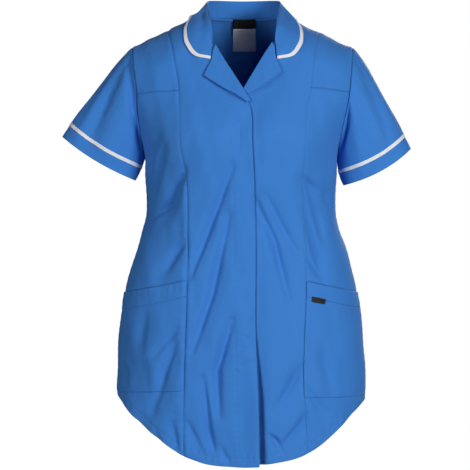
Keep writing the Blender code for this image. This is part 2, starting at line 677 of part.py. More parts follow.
def front_grids():
    """Fronts, side fronts and shoulder yokes, and the pockets made from the side fronts' points."""
    half = SEAM_GAP / 2
    grids, pockets = {}, {}
    for side, sign in SIDES.items():
        princess = seam_angle(PRINCESS[side])
        edge = seam_angle(FRONT_EDGE[side])
        outer = armhole_angle(sign)
        yoke, pocket_top = slant(side, "yoke"), slant(side, "pocket_top")
        band, pocket_bottom = slant(side, "band"), slant(side, "pocket_bottom")

        hem = hem_line(side)
        centre_rows = levels([hem, pocket_bottom, band, pocket_top, armpit_line, yoke, shoulder_line],
                             [*FRONT_ROWS, ARMPIT_ROWS, YOKE_ROWS], [1, 1, 1, 1, 1, 2])
        shape = flare if side == "right" else underlap
        edges = (princess, edge) if sign < 0 else (edge, princess)
        grids[f"front_{side}"] = panel(*edges, centre_rows, FRONT_COLUMNS, shape, -1)

        edges = (outer, princess) if sign < 0 else (princess, outer)
        side_rows = levels([hem, pocket_bottom, band, pocket_top, armpit_line, shifted(yoke, -half)],
                           [*FRONT_ROWS, ARMPIT_ROWS])
        grids[f"side_front_{side}"] = panel(*edges, side_rows, SIDE_COLUMNS)

        yoke_rows = levels([shifted(yoke, half), shoulder_line], [YOKE_ROWS], [2])
        grids[f"shoulder_yoke_{side}"] = panel(*edges, yoke_rows, YOKE_COLUMNS, shoulder=-1)

        lift = LAY + TRIM
        pocket_rows = levels([pocket_bottom, shifted(band, -half)], FRONT_ROWS[1:2])
        pockets[f"pocket_{side}"] = panel(*edges, pocket_rows, SIDE_COLUMNS, lift)
        band_rows = levels([shifted(band, half), pocket_top], FRONT_ROWS[2:3])
        pockets[f"pocket_band_{side}"] = panel(*edges, band_rows, SIDE_COLUMNS, lift + BAND_STEP)
    return grids, pockets


def back_grids():
    half = SHOULDER_SEAM_GAP / 2
    left, right = armhole_angle(1, True), armhole_angle(-1, True)
    edges = (left, lambda z: right(z) % (2 * pi))
    rows = levels([back_hem_line, armpit_line, shifted(back_yoke_line, -half)], [BACK_ROWS, BACK_ARMPIT_ROWS])
    back = panel(*edges, rows, BACK_COLUMNS)
    rows = levels([shifted(back_yoke_line, half), back_top_line], [YOKE_ROWS], [2])
    return {"back": back, "back_yoke": panel(*edges, rows, BACK_COLUMNS, shoulder=1)}


def add_body():
    grids, pockets = front_grids()
    grids.update(back_grids())
    for name, grid in grids.items():
        add_sheet(name, grid, CLOTH, "cloth")
    for name, grid in pockets.items():
        add_sheet(name, grid, TRIM, "cloth")
    return grids


def add_sleeves(grids):
    band = SLEEVE_BAND
    top = band + PIPING_WIDTH
    for side in SIDES:
        curve = sleeve_curves(side, grids)
        rings = sleeve_grid(curve, [(k / SLEEVE_ROWS, top + SEAM_GAP) for k in range(SLEEVE_ROWS + 1)])
        add_sheet(f"sleeve_{side}", rings, CLOTH, "cloth", True, outwards)
        rings = sleeve_grid(curve, [(1, top), (1, band + SEAM_GAP)], PIPING_LIFT)
        add_sheet(f"sleeve_piping_{side}", rings, CLOTH, "piping", True, outwards)
        rings = sleeve_grid(curve, [(1, band), (1, band / 2), (1, 0)])
        add_sheet(f"cuff_{side}", rings, CLOTH, "cloth", True, outwards)


def add_collar():
    grid, strip = collar_grid(columns=34, stand_rows=3, roll_rows=4, fall_rows=5)
    add_sheet("collar", grid, TRIM, "cloth", facing=upwards)
    add_sheet("collar_piping", strip, TRIM, "piping", facing=upwards)
    for side in SIDES:
        add_sheet(f"lapel_{side}", lapel_grid(side, rows=10, columns=5), TRIM, "cloth", facing=forwards)


def add_labels():
    (ax, az), (bx, bz), (cx, cz), (dx, dz) = TAB
    u, v = np.meshgrid(np.linspace(0, 1, 5), np.linspace(0, 1, 3))
    xs = mix(mix(ax, bx, u), mix(dx, cx, u), v)
    zs = mix(mix(az, bz, u), mix(dz, cz, u), v)
    lift = LAY + TRIM + BAND_STEP + LAY + LABEL
    add_sheet("pocket_tab", patch(xs, zs, lift), LABEL, "black")
    xs = np.linspace(*LABEL_X[::-1], 6)
    top = patch(xs, np.full(6, LABEL_TOP_Z), -CLOTH - LABEL_SLACK, True)
    bottom = patch(xs, np.full(6, LABEL_BOTTOM_Z), -CLOTH - LABEL_SLACK, True)
    split = (LABEL_TOP_Z - LABEL_SPLIT_Z) / (LABEL_TOP_Z - LABEL_BOTTOM_Z)
    gap = SEAM_GAP / (LABEL_TOP_Z - LABEL_BOTTOM_Z)
    for name, low, high, colour in (("neck_label_top", split - gap, 0, "black"),
                                    ("neck_label_bottom", 1, split, "grey")):
        rows = [mix(top, bottom, t) for t in np.linspace(low, high, 3)]
        add_sheet(name, np.array(rows), LABEL, colour)


for old in list(bpy.data.objects):
    bpy.data.objects.remove(old)
COLLECTION = bpy.data.collections.new("maternity_work_tunic")
bpy.context.scene.collection.children.link(COLLECTION)
MATERIALS = make_materials()
add_sleeves(add_body())
add_collar()
add_labels()
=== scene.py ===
"""Looks of the maternity work tunic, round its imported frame.

Every cloth node is replaced by a thin shell on the same worked-out form, with finer rows and
columns, smaller creases, sewn lines and seams. +Z up, the front faces -Y, and the wearer's right is
at -X. The tables of the form are the ones that the solids are made from. Tables are written in
millimetres and read in metres, and single values are in metres.
"""
from collections import namedtuple
from math import pi, radians

import bpy
import numpy as np
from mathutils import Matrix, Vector
from mathutils.kdtree import KDTree

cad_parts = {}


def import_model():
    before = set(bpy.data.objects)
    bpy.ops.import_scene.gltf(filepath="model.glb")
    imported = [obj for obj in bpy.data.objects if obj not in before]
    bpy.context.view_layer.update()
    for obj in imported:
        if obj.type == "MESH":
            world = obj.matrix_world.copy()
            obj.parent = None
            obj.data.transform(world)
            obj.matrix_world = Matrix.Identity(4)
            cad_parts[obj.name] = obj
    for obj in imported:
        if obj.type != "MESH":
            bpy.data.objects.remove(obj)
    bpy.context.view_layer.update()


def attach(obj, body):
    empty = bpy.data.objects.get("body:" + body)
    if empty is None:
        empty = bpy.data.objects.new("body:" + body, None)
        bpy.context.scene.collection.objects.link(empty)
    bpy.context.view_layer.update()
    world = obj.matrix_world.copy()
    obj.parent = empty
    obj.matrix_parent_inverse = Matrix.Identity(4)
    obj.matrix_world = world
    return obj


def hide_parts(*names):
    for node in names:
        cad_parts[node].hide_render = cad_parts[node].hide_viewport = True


def table(names, *rows, plain=""):
    """Rows with the names of their columns. Millimetres become metres, but not in plain columns."""
    kind = namedtuple("Row", names)
    scales = [1 if name in plain.split() else 1000 for name in kind._fields]
    return tuple(kind(*(value / scale for value, scale in zip(row, scales))) for row in rows)


# Cloth and seams
CLOTH = 0.0012
TRIM = 0.0011
LABEL = 0.0006
LAY = 0.0005
BAND_STEP = 0.0003

# Body of the garment
SQUARENESS = 2.35
CENTRE_X = 0.003
NECK_HALF = 0.072
NECK_DEPTH_SHARE = 0.85
SHOULDER_ROUND = 0.070
ARMPIT_Z = -0.262
HEM_CENTRE_X = 0.004
BACK_NECK_RISE = 0.004

# Bust fullness
BUST_X = 0.085
BUST_Z = -0.228
BUST_RADIUS = 0.062
BUST_RISE = 0.009

# Where the right front laps over the left
UNDERLAP_DROP = 0.0028
UNDERLAP_EASE = 0.020
UNDERLAP_MARGIN = 0.004
FLARE_RISE = 0.006
FLARE_TOP_Z = -0.60
FLARE_LENGTH = 0.14
FLARE_WIDTH = 0.030

# Collar
ROLL_RADIUS = 0.0019
COLLAR_LIFT = 0.0028
STAND_LIFT = 0.0012
FALL_BULGE = 0.0032
LAPEL_CLEARANCE = 0.0016
WRAP = 0.0030
PIPING_WIDTH = 0.0066
PIPING_LIFT = 0.0002

# Sleeves
SLEEVE_GAP = 0.0006
SLEEVE_BAND = 0.0240
CAP_EASE = 0.066
CUFF_EASE = 0.070
SLEEVE_STAND = 0.25
UNDERARM_DROP = 0.8

SECTIONS = table("z half_right half_left front back",
    (40, 252, 252, 74, 80), (0, 245, 246, 78, 85), (-61, 235, 237, 86, 98), (-100, 228, 231, 99, 106),
    (-144, 218.5, 221.5, 114, 112), (-183, 203, 203, 128, 114), (-218, 189.5, 186, 138, 113),
    (-248, 181, 176.5, 141, 111), (-296, 179.5, 173, 139, 105), (-340, 176, 172, 136, 99),
    (-370, 177.6, 174, 134, 97), (-400, 185, 181.3, 134, 98), (-444, 198, 196, 136, 103),
    (-488, 211, 207, 139, 110), (-533, 219.4, 215, 142, 117), (-592, 225, 222.2, 145, 123),
    (-651, 228.3, 225.7, 148, 127), (-700, 231, 226.2, 150, 129), (-860, 235, 229, 152, 131))

# Shoulder seams run level to their neck point, then fall by so much per metre
Shoulder = namedtuple("Shoulder", "level fall")
SHOULDERS = {"right": Shoulder(0.0850, 0.490), "left": Shoulder(0.0720, 0.466)}

# Share of the half width at which the sleeve is set in
ARMHOLE = table("z share",
    (-60, 0.857), (-100, 0.868), (-144, 0.88), (-183, 0.93), (-218, 0.975), (-245, 0.995), (-262, 1),
    plain="share")

# Half widths of the front edges and princess seams at each height
SEAM = "z x"
PRINCESS = {
    "right": table(SEAM,
        (-30, -135), (-81, -124.6), (-128, -115.9), (-183, -110.8), (-254, -107), (-308, -100),
        (-432, -98.1), (-520, -98.7), (-608, -102.1), (-696, -103.8), (-800, -104.6)),
    "left": table(SEAM,
        (-30, 142), (-71, 133.3), (-133, 124), (-192, 113.4), (-263, 108.8), (-307, 108.9),
        (-378, 113.6), (-503, 113.8), (-591, 109.9), (-661, 108.9), (-732, 112.4), (-800, 117)),
}
FRONT_EDGE = {
    "right": table(SEAM,
        (0, -69), (-20, -66), (-40, -60), (-59.5, -53.4), (-90, -34.6), (-120, -16), (-148, 1),
        (-168, 11), (-180, 14.3), (-238, 17), (-326, 21.5), (-432, 23.3), (-573, 23.2), (-643, 25.8),
        (-730, 28.3), (-813, 30.1)),
    "left": table(SEAM,
        (0, 75), (-20, 72.2), (-40, 68), (-53.8, 62), (-65.4, 52), (-100, 30.5), (-149, 2.2),
        (-175, -11), (-200, -16.5), (-326, -16.5), (-813, -14)),
}

# Curved shirt-tail hem: height of each side at a distance from its centre
HEM = table("x right left",
    (0, -814, -812.1), (27, -812.7, -810.6), (49, -811.1, -807.4), (70, -807.9, -804),
    (91, -801.3, -799.1), (112, -793.1, -791.1), (134, -779.8, -778.1), (155, -765, -761.6),
    (177, -748.7, -742.2), (190, -737.4, -730), (202, -727.8, -719.1), (213, -716.8, -710.1),
    (226, -703.5, -702.6), (236, -695.5, -698.1))

# Slanting lines across a side front: height at the princess seam, fall per metre outwards
Slant = namedtuple("Slant", "x z fall")
SLANTS = {
    "right": {
        "yoke": Slant(0.1166, -0.1462, 0.055),
        "pocket_top": Slant(0.1010, -0.4866, 0.205),
        "band": Slant(0.1010, -0.5145, 0.228),
        "pocket_bottom": Slant(0.1010, -0.6805, 0.070),
    },
    "left": {
        "yoke": Slant(0.1230, -0.1405, 0.088),
        "pocket_top": Slant(0.1100, -0.4867, 0.232),
        "band": Slant(0.1100, -0.5135, 0.224),
        "pocket_bottom": Slant(0.1100, -0.6930, 0.030),
    },
}
BACK_YOKE_Z = -0.072
BACK_YOKE_FALL = 0.6

# Soft folds: three points, half width and depth (troughs are negative)
FOLD = "x1 z1 x2 z2 x3 z3 width depth"
FRONT_FOLDS = table(FOLD,
    (-16, -285, -54, -382, -93, -481, 13, -5), (-24, -373, -52, -508, -87, -608, 13, -5),
    (-18, -557, -43, -643, -41, -722, 14, -5), (-69, -657, -58, -752, -50, -790, 13, -4.5),
    (-103, -295, -131, -350, -150, -380, 15, -6), (-105, -421, -121, -443, -150, -480, 15, -4.5),
    (-121, -600, -129, -630, -157, -716, 14, -5), (24, -343, 60, -416, 84, -520, 14, -5.5),
    (44, -336, 74, -391, 101, -441, 12, -4), (107, -638, 86, -675, 70, -718, 14, -5),
    (115, -725, 93, -761, 70, -790, 13, -4.5), (113, -304, 132, -340, 150, -416, 14, -5),
    (115, -355, 133, -420, 149, -480, 14, -4.5), (145, -609, 152, -640, 161, -681, 14, -4.5))
BACK_FOLDS = table(FOLD,
    (30, -250, 60, -340, 95, -430, 15, -5), (-20, -270, -48, -360, -90, -450, 15, -5),
    (10, -420, 30, -560, 34, -700, 16, -6), (-60, -440, -75, -570, -80, -720, 16, -6),
    (85, -470, 110, -600, 120, -740, 16, -5.5), (-130, -330, -150, -450, -150, -580, 16, -5),
    (120, -300, 150, -380, 160, -470, 15, -5))

# Half of the collar, from the centre back to the notch. x is from the centre line.
COLLAR = table("at seam_x seam_z roll_x roll_y roll_z edge_x edge_z behind",
    (0, 0, 4, 0, 66, 34.5, 0, -12, True), (0.14, 30, 3.6, 29, 60, 34.2, 38, -13.5, True),
    (0.28, 56, 1.8, 53, 40, 32, 70, -16.5, True), (0.42, 70.5, 0.1, 66.8, 12, 27, 90.5, -14.5, True),
    (0.5, 72, -0.1, 67.2, -5, 21, 93.5, -12, False), (0.62, 71, -8, 64.8, -33, 4, 104.5, -30, False),
    (0.74, 67, -20, 62, -60, -13, 106.8, -48, False),
    (0.84, 62.5, -36, 59.5, -76.5, -33, 103.5, -65, False),
    (0.93, 59, -49, 57.5, -84.5, -49, 87, -85, False), (1, 56.8, -59.5, 56.5, -88, -60, 60, -91.5, False),
    plain="at behind")

# Lapels: share of the way down, roll line and outer edge
LAPEL = "at roll_x roll_z edge_x edge_z"
LAPELS = {
    "right": table(LAPEL,
        (0, -51.5, -63, -55.3, -94.5), (0.2, -39, -85, -62, -108), (0.4, -25, -108, -67.5, -122.5),
        (0.6, -11, -130.5, -40, -140.5), (0.8, 1, -150, -12, -156), (1, 11.5, -169, 8.5, -170), plain="at"),
    "left": table(LAPEL,
        (0, 57, -59, 61, -91), (0.2, 48.5, -72, 66, -102.5), (0.4, 38, -89.5, 69, -114.5),
        (0.6, 26, -110, 48, -130.5), (0.8, 16, -127, 29, -144), (1, 2, -150, 10, -154.5), plain="at"),
}

# Sleeve hem: outer and inner end of its long axis
Cuff = namedtuple("Cuff", "outer_x outer_z inner_x inner_z y half_depth bow")
CUFFS = {
    "right": Cuff(-0.3312, -0.2240, -0.1965, -0.3050, -0.010, 0.040, 0.0065),
    "left": Cuff(0.3112, -0.2460, 0.1873, -0.3140, -0.010, 0.040, 0.0095),
}

# Tab on the left pocket and labels at the back neck
TAB = ((0.1218, -0.5240), (0.1454, -0.5288), (0.1473, -0.5200), (0.1228, -0.5143))
LABEL_X = (-0.0171, 0.0270)
LABEL_TOP_Z = 0.0030
LABEL_SPLIT_Z = -0.0138
LABEL_BOTTOM_Z = -0.0549
LABEL_SLACK = 0.0015

SIDES = {"right": -1, "left": 1}

# Rows and columns of the shells
COLUMNS = {"front": 88, "side_front": 58, "shoulder_yoke": 36, "back": 150}
EDGE_CROWDING = 0.55
ROWS = {"hem": 9, "skirt": 60, "pocket": 72, "band": 14, "mouth": 3, "waist": 92, "armpit": 40, "yoke": 46,
        "back": 190}
SIDE_BANDS = "hem skirt pocket band mouth waist armpit"
SLEEVE_ROWS = 84
CUFF_ROWS = 14
PIPING_ROWS = 5
CURVE_STEPS = 140
PANEL_PASSES = 18
NORMAL_STEP = 0.0008

# Shells are thinner than the solids' walls
SHELL = 0.0008
TAPE_SHELL = 0.0005

# Hem and seams
HEM_STITCH = 0.0145
FLY_WIDTH = 0.0385
SEAM_DIP = 0.0011
SEAM_DIP_WIDTH = 0.0021
SEAM_RIDGE = 0.0004
SEAM_RIDGE_AT = 0.0065
SEAM_RIDGE_WIDTH = 0.004
SEAM_PUCKER = 0.00022
GROOVE = 0.0005
GROOVE_WIDTH = 0.0016
CROSS_SEAM = 0.3
POCKET_FADE = 0.010
POCKET_LOW = 0.0007

# Puckers: their length, how far they sway and over what length
SEAM_WAVES = (0.0135, 1.7, 0.031)
STITCH_WAVES = (0.0115, 2.1, 0.043)
BAND_WAVES = (0.0118, 1.3, 0.027)

# How deep the princess seams are: clear on the right but for the bust, faint on the left
PRINCESS_DEPTH = table("z right left",
    (-850, 1, 0.4), (-320, 1, 0.4), (-270, 0.55, 0.35), (-180, 0.45, 0.35), (-145, 1, 0.5), (0, 1, 0.5),
    plain="right left")

CREASE_GAIN = 2.7
STEEP_SIDE = 0.75
GENTLE_SIDE = 1.5
CREASE_ENDS = (0.12, 0.88)
SLEEVE_FOLD_ENDS = (0.15, 0.85)

# Smaller creases along and beside the folds, in the same columns
FRONT_CREASES = table(FOLD,
    (-16.5, -285, -53.6, -382, -92.6, -481, 6, -2.4), (-23.6, -373, -51.8, -507.5, -87, -608, 6, -2.4),
    (-18.2, -557, -42.9, -643, -41.1, -722, 6.5, -3.4),
    (-69.3, -657, -57.8, -751.5, -49.9, -783, 5.5, -3), (-37, -778, -31, -791, -24, -804, 5, -1.5),
    (-103.5, -295, -117, -322, -130.9, -350, 7, -3), (-136, -253, -151, -293, -166, -333, 7.5, -3.2),
    (-127, -346, -147, -359, -167, -372.5, 6, -2.6), (-105, -421, -120.5, -442.5, -136, -464, 6, -2.2),
    (-148, -228, -164, -262, -172, -300, 7, -2.2), (-173, -550, -177, -580, -181, -611, 8, -2),
    (-117, -575, -137, -597, -157, -620, 6, -1.8), (-121, -600, -137, -646, -159, -716, 7, -2.4),
    (-212, -642, -210, -660, -207.5, -681, 6, -1.5), (24, -343, 59.6, -416, 84, -520, 6, -2.6),
    (43.6, -336, 74, -391, 100.6, -441, 6, -1.6), (107, -638, 86, -675, 55, -718, 6, -1.6),
    (115, -722, 93, -752, 72, -776, 4, -1.8), (48, -757, 61, -767, 70, -784, 4.5, -2.8),
    (111, -304, 125, -315, 139.5, -326, 6, -2.4), (148.5, -321, 154, -335, 160, -349, 6, -2.2),
    (123, -327, 138, -369, 150, -416, 5.5, -1.8), (115, -355, 132, -424, 149, -493, 5.5, -1.8),
    (111.5, -434, 124, -455, 137, -475, 5, -1.6), (145, -609, 153, -645, 161, -681, 8, -1.4),
    (112, -672, 130, -698, 147, -724, 6, -1.4), (18, -352, 26, -376, 30, -400, 5, -1.6),
    (-118, -395, -134, -440, -152, -490, 22, -2.2), (-130, -300, -139, -350, -145, -400, 24, -2.2),
    (-183, -620, -174, -670, -168, -725, 18, -2), (-153, -750, -149, -764, -144, -778, 5, -1.1),
    (-123, -740, -118, -765, -114, -788, 5.5, -1.3), (-100.8, -730, -86, -758, -68.5, -792, 7.5, -1.5),
    (-4.5, -580, 5, -583.5, 14, -588, 2.2, -0.6), (-4, -603, 3, -603.5, 9, -602, 2.2, -0.5),
    (-6, -637, 4, -633, 19, -626, 2.6, -0.8), (-10, -642, -7.5, -648, -4, -649, 2.4, -0.6),
    (-16.5, -205.3, -8, -205, -0.5, -205.6, 2.2, -0.4), (-16, -221.5, -9, -222.2, -3, -222, 2.2, -0.3),
    (-3.5, -209, -4.2, -230, -4, -266, 2.8, -0.6))
BACK_CREASES = table(FOLD,
    (30, -250, 60, -340, 95, -430, 6.5, -2.4), (-20, -270, -48, -360, -90, -450, 6.5, -2.4),
    (10, -420, 30, -560, 34, -700, 7, -2.4), (-60, -440, -75, -570, -80, -720, 7, -2.2),
    (85, -470, 110, -600, 120, -740, 6.5, -2.2), (-130, -330, -150, -450, -150, -580, 6.5, -2),
    (120, -300, 150, -380, 160, -470, 6.5, -2.2), (-90, -300, -118, -350, -150, -395, 6, -2.2),
    (82, -310, 106, -362, 142, -405, 6, -1.8), (-20, -480, -30, -590, -24, -660, 6, -1.6),
    (140, -120, 120, -180, 95, -240, 9, -2.2), (-138, -120, -122, -175, -90, -225, 9, -2),
    (60, -600, 66, -690, 62, -770, 6, -1.8), (-110, -620, -118, -700, -112, -760, 6, -1.8))

# Soft folds of the sleeves: degrees round the arm from the shoulder (90 in front), and distance down
SLEEVE_FOLD = "turn1 down1 turn2 down2 width depth"
SLEEVE_FOLDS = {
    "right": table(SLEEVE_FOLD,
        (38, 35, 70, 150, 17, -9.5), (84, 20, 104, 150, 15, 3), (34, 11, 112, 13, 9.5, -8.5),
        (118, 4, 152, 16, 10, -7), (20, 60, 26, 165, 12, -2.2), (250, 20, 262, 130, 15, -5),
        (300, 30, 290, 150, 13, -4), (215, 10, 232, 100, 12, -4), plain="turn1 turn2"),
    "left": table(SLEEVE_FOLD,
        (40, 20, 50, 110, 22, -2), (64, 30, 76, 150, 14, 2.6), (104, 4, 150, 16, 9, -7),
        (24, 70, 30, 175, 10, 1.8), (252, 20, 266, 130, 15, -5), (302, 30, 294, 150, 13, -3.6),
        (212, 10, 228, 100, 12, -4), plain="turn1 turn2"),
}

# Broad unevenness of hanging cloth: wave lengths across and down, phase and height
WAVES = table("across down phase height",
    (47, 210, 0.3, 0.45), (83, -160, 1.9, 0.55), (29, 130, 4.1, 0.22), (61, -90, 2.6, 0.3),
    (21, -75, 5.2, 0.12), plain="phase")

# Rows and columns of collar and lapels
COLLAR_COLUMNS = 168
STAND_ROWS = 12
ROLL_ROWS = 8
FALL_ROWS = 18
LAPEL_ROWS = 44
LAPEL_COLUMNS = 26
LAPEL_WRAP_ROWS = 6

# Collar and lapel relief
STAND_CREASE = 0.0012
STAND_CREASE_AT = 0.25
PIPING_RAISE = 0.0004
LAPEL_BELLY = 0.0012
LAPEL_TIP = 0.0032

# Cloth drawn in under the lower edges of the lapels
UNDER_LAPEL = {
    "right": table(FOLD,
        (-68, -124, -23, -150, 15, -172, 4.5, -4.2)),
    "left": table(FOLD,
        (71, -116, 45, -134.5, 15, -153, 5, -3.2)),
}

# Fly, pockets and sleeves
FLY_TOP_Z = -0.185
EDGE_GAP = 0.0022
EDGE_GAP_WIDTH = 0.0030
LOW_GAP = 0.0115
LOW_GAP_WIDTH = 0.0150
LOW_GAP_TOP_Z = -0.560
LOW_GAP_LENGTH = 0.150
MOUTH = 0.0022
MOUTH_DEPTH = 0.0040
TACK_Z = -0.472
TACK_HALF = 0.0014
TACK_DEPTH = 0.0007
EDGE_TURN = 0.0004
EDGE_TURN_WIDTH = 0.0012
HEM_ROLL = 0.0006
HEM_ROLL_WIDTH = 0.004
HEM_ROLL_LENGTH = 0.071
HEM_PUCKER = 0.00055
POCKET_GAPE = 0.0016
GAPE_DEPTH = 0.060
BAND_RIPPLE = {"right": 0.0005, "left": 0.0001}
ARM_RADIUS = 0.062
ARMHOLE_HOLD = 0.004
SLEEVE_HEAD = 0.0003
SLEEVE_HEAD_FADE = 0.06
CUFF_HOLD = 0.050

# Stitches
EDGE_STITCH = 0.0022
ARMHOLE_STITCH = 0.0060
STITCH_LIFT = 0.00005
STITCH_LENGTH = 0.0028
STITCH_GAP = 0.0009
STITCH_WIDTH = 0.00042
STITCH_HEIGHT = 0.00030

# Lines of stitches on each kind of panel: from which of its edges, and how far in
SEWN = {
    "front": {"from_hem": HEM_STITCH, "inner": FLY_WIDTH},
    "side_front": {"from_hem": HEM_STITCH, "to_top": EDGE_STITCH},
    "shoulder_yoke": {"outer": ARMHOLE_STITCH},
    "pocket": {"inner": EDGE_STITCH, "outer": EDGE_STITCH},
    "pocket_band": {"from_hem": EDGE_STITCH, "inner": EDGE_STITCH, "outer": EDGE_STITCH},
    "back": {"from_hem": HEM_STITCH, "to_top": EDGE_STITCH},
    "back_yoke": {"outer": ARMHOLE_STITCH, "inner": ARMHOLE_STITCH},
}

# Colours and materials
WHITE = (1.0, 1.0, 1.0, 1.0)
CLOTH_COLOUR = (0.044, 0.222, 0.660)
THREAD_COLOUR = (0.100, 0.310, 0.690)
PIPING_COLOUR = (0.880, 0.890, 0.930)
BLACK_COLOUR = (0.010, 0.010, 0.012)
GREY_COLOUR = (0.900, 0.900, 0.900)
FLOOR_COLOUR = (0.800, 0.800, 0.800)
SLUB_WIDTH = 0.0009
SLUB_LENGTH = 0.0180
PATCH_SIZE = 0.045
THREAD_TWIST = 0.0004
TWIST_DEPTH = 0.00005
FABRIC = {"Specular_IOR_Level": 0.22, "Sheen_Roughness": 0.45}

# Woven materials: colour, distance between threads, roughness, sheen, turn, contrast and slubs
FABRICS = {
    "cloth": ("poly_cotton", CLOTH_COLOUR, 0.00052, 0.8, 0.12, 0.0, 0.10, 0.06),
    "piping": ("white_bias_tape", PIPING_COLOUR, 0.00045, 0.75, 0.1, pi / 4, 0.05, 0.03),
    "black": ("black_woven_tape", BLACK_COLOUR, 0.00060, 0.6, 0.05, 0.0, 0.5, 0.2),
    "grey": ("grey_woven_label", GREY_COLOUR, 0.00050, 0.55, 0.05, 0.0, 0.06, 0.03),
}
SLOTS = {"cloth": "tunic_cloth", "piping": "piping", "black": "black_tape", "grey": "grey_label"}

# Camera: level, as far off as the picture's perspective shows, framing 470 pixels of 1.85 mm
SENSOR = 36.0
CAMERA_X = -0.01295
CAMERA_Z = -0.40515
CAMERA_DISTANCE = 3.0
FRAME_WIDTH = 0.8695

# Studio
WORLD_STRENGTH = 0.005
FLOOR_Z = -1.40
FLOOR_SIZE = 6.0
SWEEP_RADIUS = 20.0
SWEEP_GLOW = 1.0
FLOOR_GLOW = 0.45
LIGHT_TARGET = (0, 0, -0.42)
Light = namedtuple("Light", "name x y z size power")
LIGHTS = (
    Light("key", 1.87, -2.68, 0.04, 1.1, 73.0),
    Light("fill", -2.19, -2.43, 0.04, 1.1, 37.0),
    Light("front", 0.69, -3.22, -0.25, 1.1, 5.0),
    Light("behind", 0.93, 2.55, 0.85, 1.2, 60.0),
)


def smooth(at, xs, ys):
    """Cubic curve through the points, held level past its ends."""
    xs, ys = np.asarray(xs, float), np.asarray(ys, float)
    if xs[0] > xs[-1]:
        xs, ys = xs[::-1], ys[::-1]
    slope = np.gradient(ys, xs)
    at = np.clip(np.asarray(at, float), xs[0], xs[-1])
    i = np.clip(np.searchsorted(xs, at) - 1, 0, len(xs) - 2)
    step = xs[i + 1] - xs[i]
    t = (at - xs[i]) / step
    ends = (1 + 2 * t) * (1 - t) ** 2 * ys[i] + t * t * (3 - 2 * t) * ys[i + 1]
    return ends + t * (1 - t) * step * ((1 - t) * slope[i] - t * slope[i + 1])


def column(rows, key, name, at, curve=smooth):
    """Curve through one column of a table, read at a value of its key column."""
    return curve(at, [getattr(row, key) for row in rows], [getattr(row, name) for row in rows])


def mix(a, b, t):
    return a + (b - a) * t


def ease(t):
    t = np.clip(t, 0, 1)
    return t * t * (3 - 2 * t)


def bump(distance, width):
    return np.exp(-(distance / width) ** 2)


def puckers(along, length, swing, sway):
    """Small waves along a seam, of a length that sways."""
    return np.sin(2 * pi * along / length + swing * np.sin(along / sway))


def unit(v):
    return v / np.maximum(np.linalg.norm(v, axis=-1, keepdims=True), 1e-12)


def run_lengths(grid):
    """Distance of each point from the first row, along its column."""
    steps = np.linalg.norm(np.diff(grid, axis=0), axis=-1)
    return np.concatenate([np.zeros((1,) + steps.shape[1:]), np.cumsum(steps, axis=0)])


def half_width(z, side):
    right, left = (column(SECTIONS, "z", name, z) for name in ("half_right", "half_left"))
    return np.where(np.asarray(side) < 0, right, left)


def shoulder_line(x):
    right, left = (SHOULDERS[side].fall * np.maximum(np.abs(x - CENTRE_X) - SHOULDERS[side].level, 0)
                   for side in SIDES)
    return -np.where(np.asarray(x) < 0, right, left)


def hem_line(side):
    return lambda x: column(HEM, "x", side, np.abs(x - HEM_CENTRE_X))


def back_hem_line(x):
    return (hem_line("right")(x) + hem_line("left")(x)) / 2


def slant(side, name):
    """A line across the fronts, level inside the princess seam."""
    row = SLANTS[side][name]
    return lambda x: row.z - row.fall * np.maximum(np.abs(x) - row.x, 0)


def armpit_line(x):
    return ARMPIT_Z + 0 * x


def back_yoke_line(x):
    return BACK_YOKE_Z - BACK_YOKE_FALL * x * x


def back_top_line(x):
    """Back neck inside the shoulder seams, shoulder seams outside."""
    across = np.clip((x - CENTRE_X) / NECK_HALF, -1, 1)
    return shoulder_line(x) + BACK_NECK_RISE * (1 - across ** 2)


def shifted(line, by):
    return lambda x: line(x) + by


def angle_of(x, z, behind=False):
    """Angle round the body, 0 at the centre front, of a point seen at x and z."""
    share = np.clip(np.abs(x) / half_width(z, np.sign(x)), 0, 1)
    depth = (1 - share ** SQUARENESS) ** (1 / SQUARENESS)
    angle = np.arctan2(share, depth) * np.where(np.asarray(x) < 0, -1, 1)
    return np.where(behind, pi - angle, angle)


def body(angle, z):
    """Plain worn form: rounded sections that close over the shoulders round an oval neck."""
    across, deep = np.sin(angle), np.cos(angle)
    size = (np.abs(across) ** SQUARENESS + np.abs(deep) ** SQUARENESS) ** (1 / SQUARENESS)
    across, deep = across / size, deep / size
    x = across * half_width(z, across)
    front, back = (column(SECTIONS, "z", name, z) for name in ("front", "back"))
    down = np.clip((shoulder_line(x) - z) / SHOULDER_ROUND, 0, 1)
    turn = np.sqrt(np.maximum(1 - (1 - down) ** 2, 0))
    off_centre = np.clip((x - CENTRE_X) / NECK_HALF, -1, 1)
    neck = NECK_DEPTH_SHARE * np.sqrt(1 - off_centre ** 2)
    y = -deep * np.where(deep > 0, front, back) * (neck + (1 - neck) * turn)
    return np.stack([x, y, z + 0 * x], -1)


def normal(angle, z):
    turn = body(angle + NORMAL_STEP, z) - body(angle - NORMAL_STEP, z)
    return unit(np.cross(turn, body(angle, z) - body(angle, z - NORMAL_STEP)))


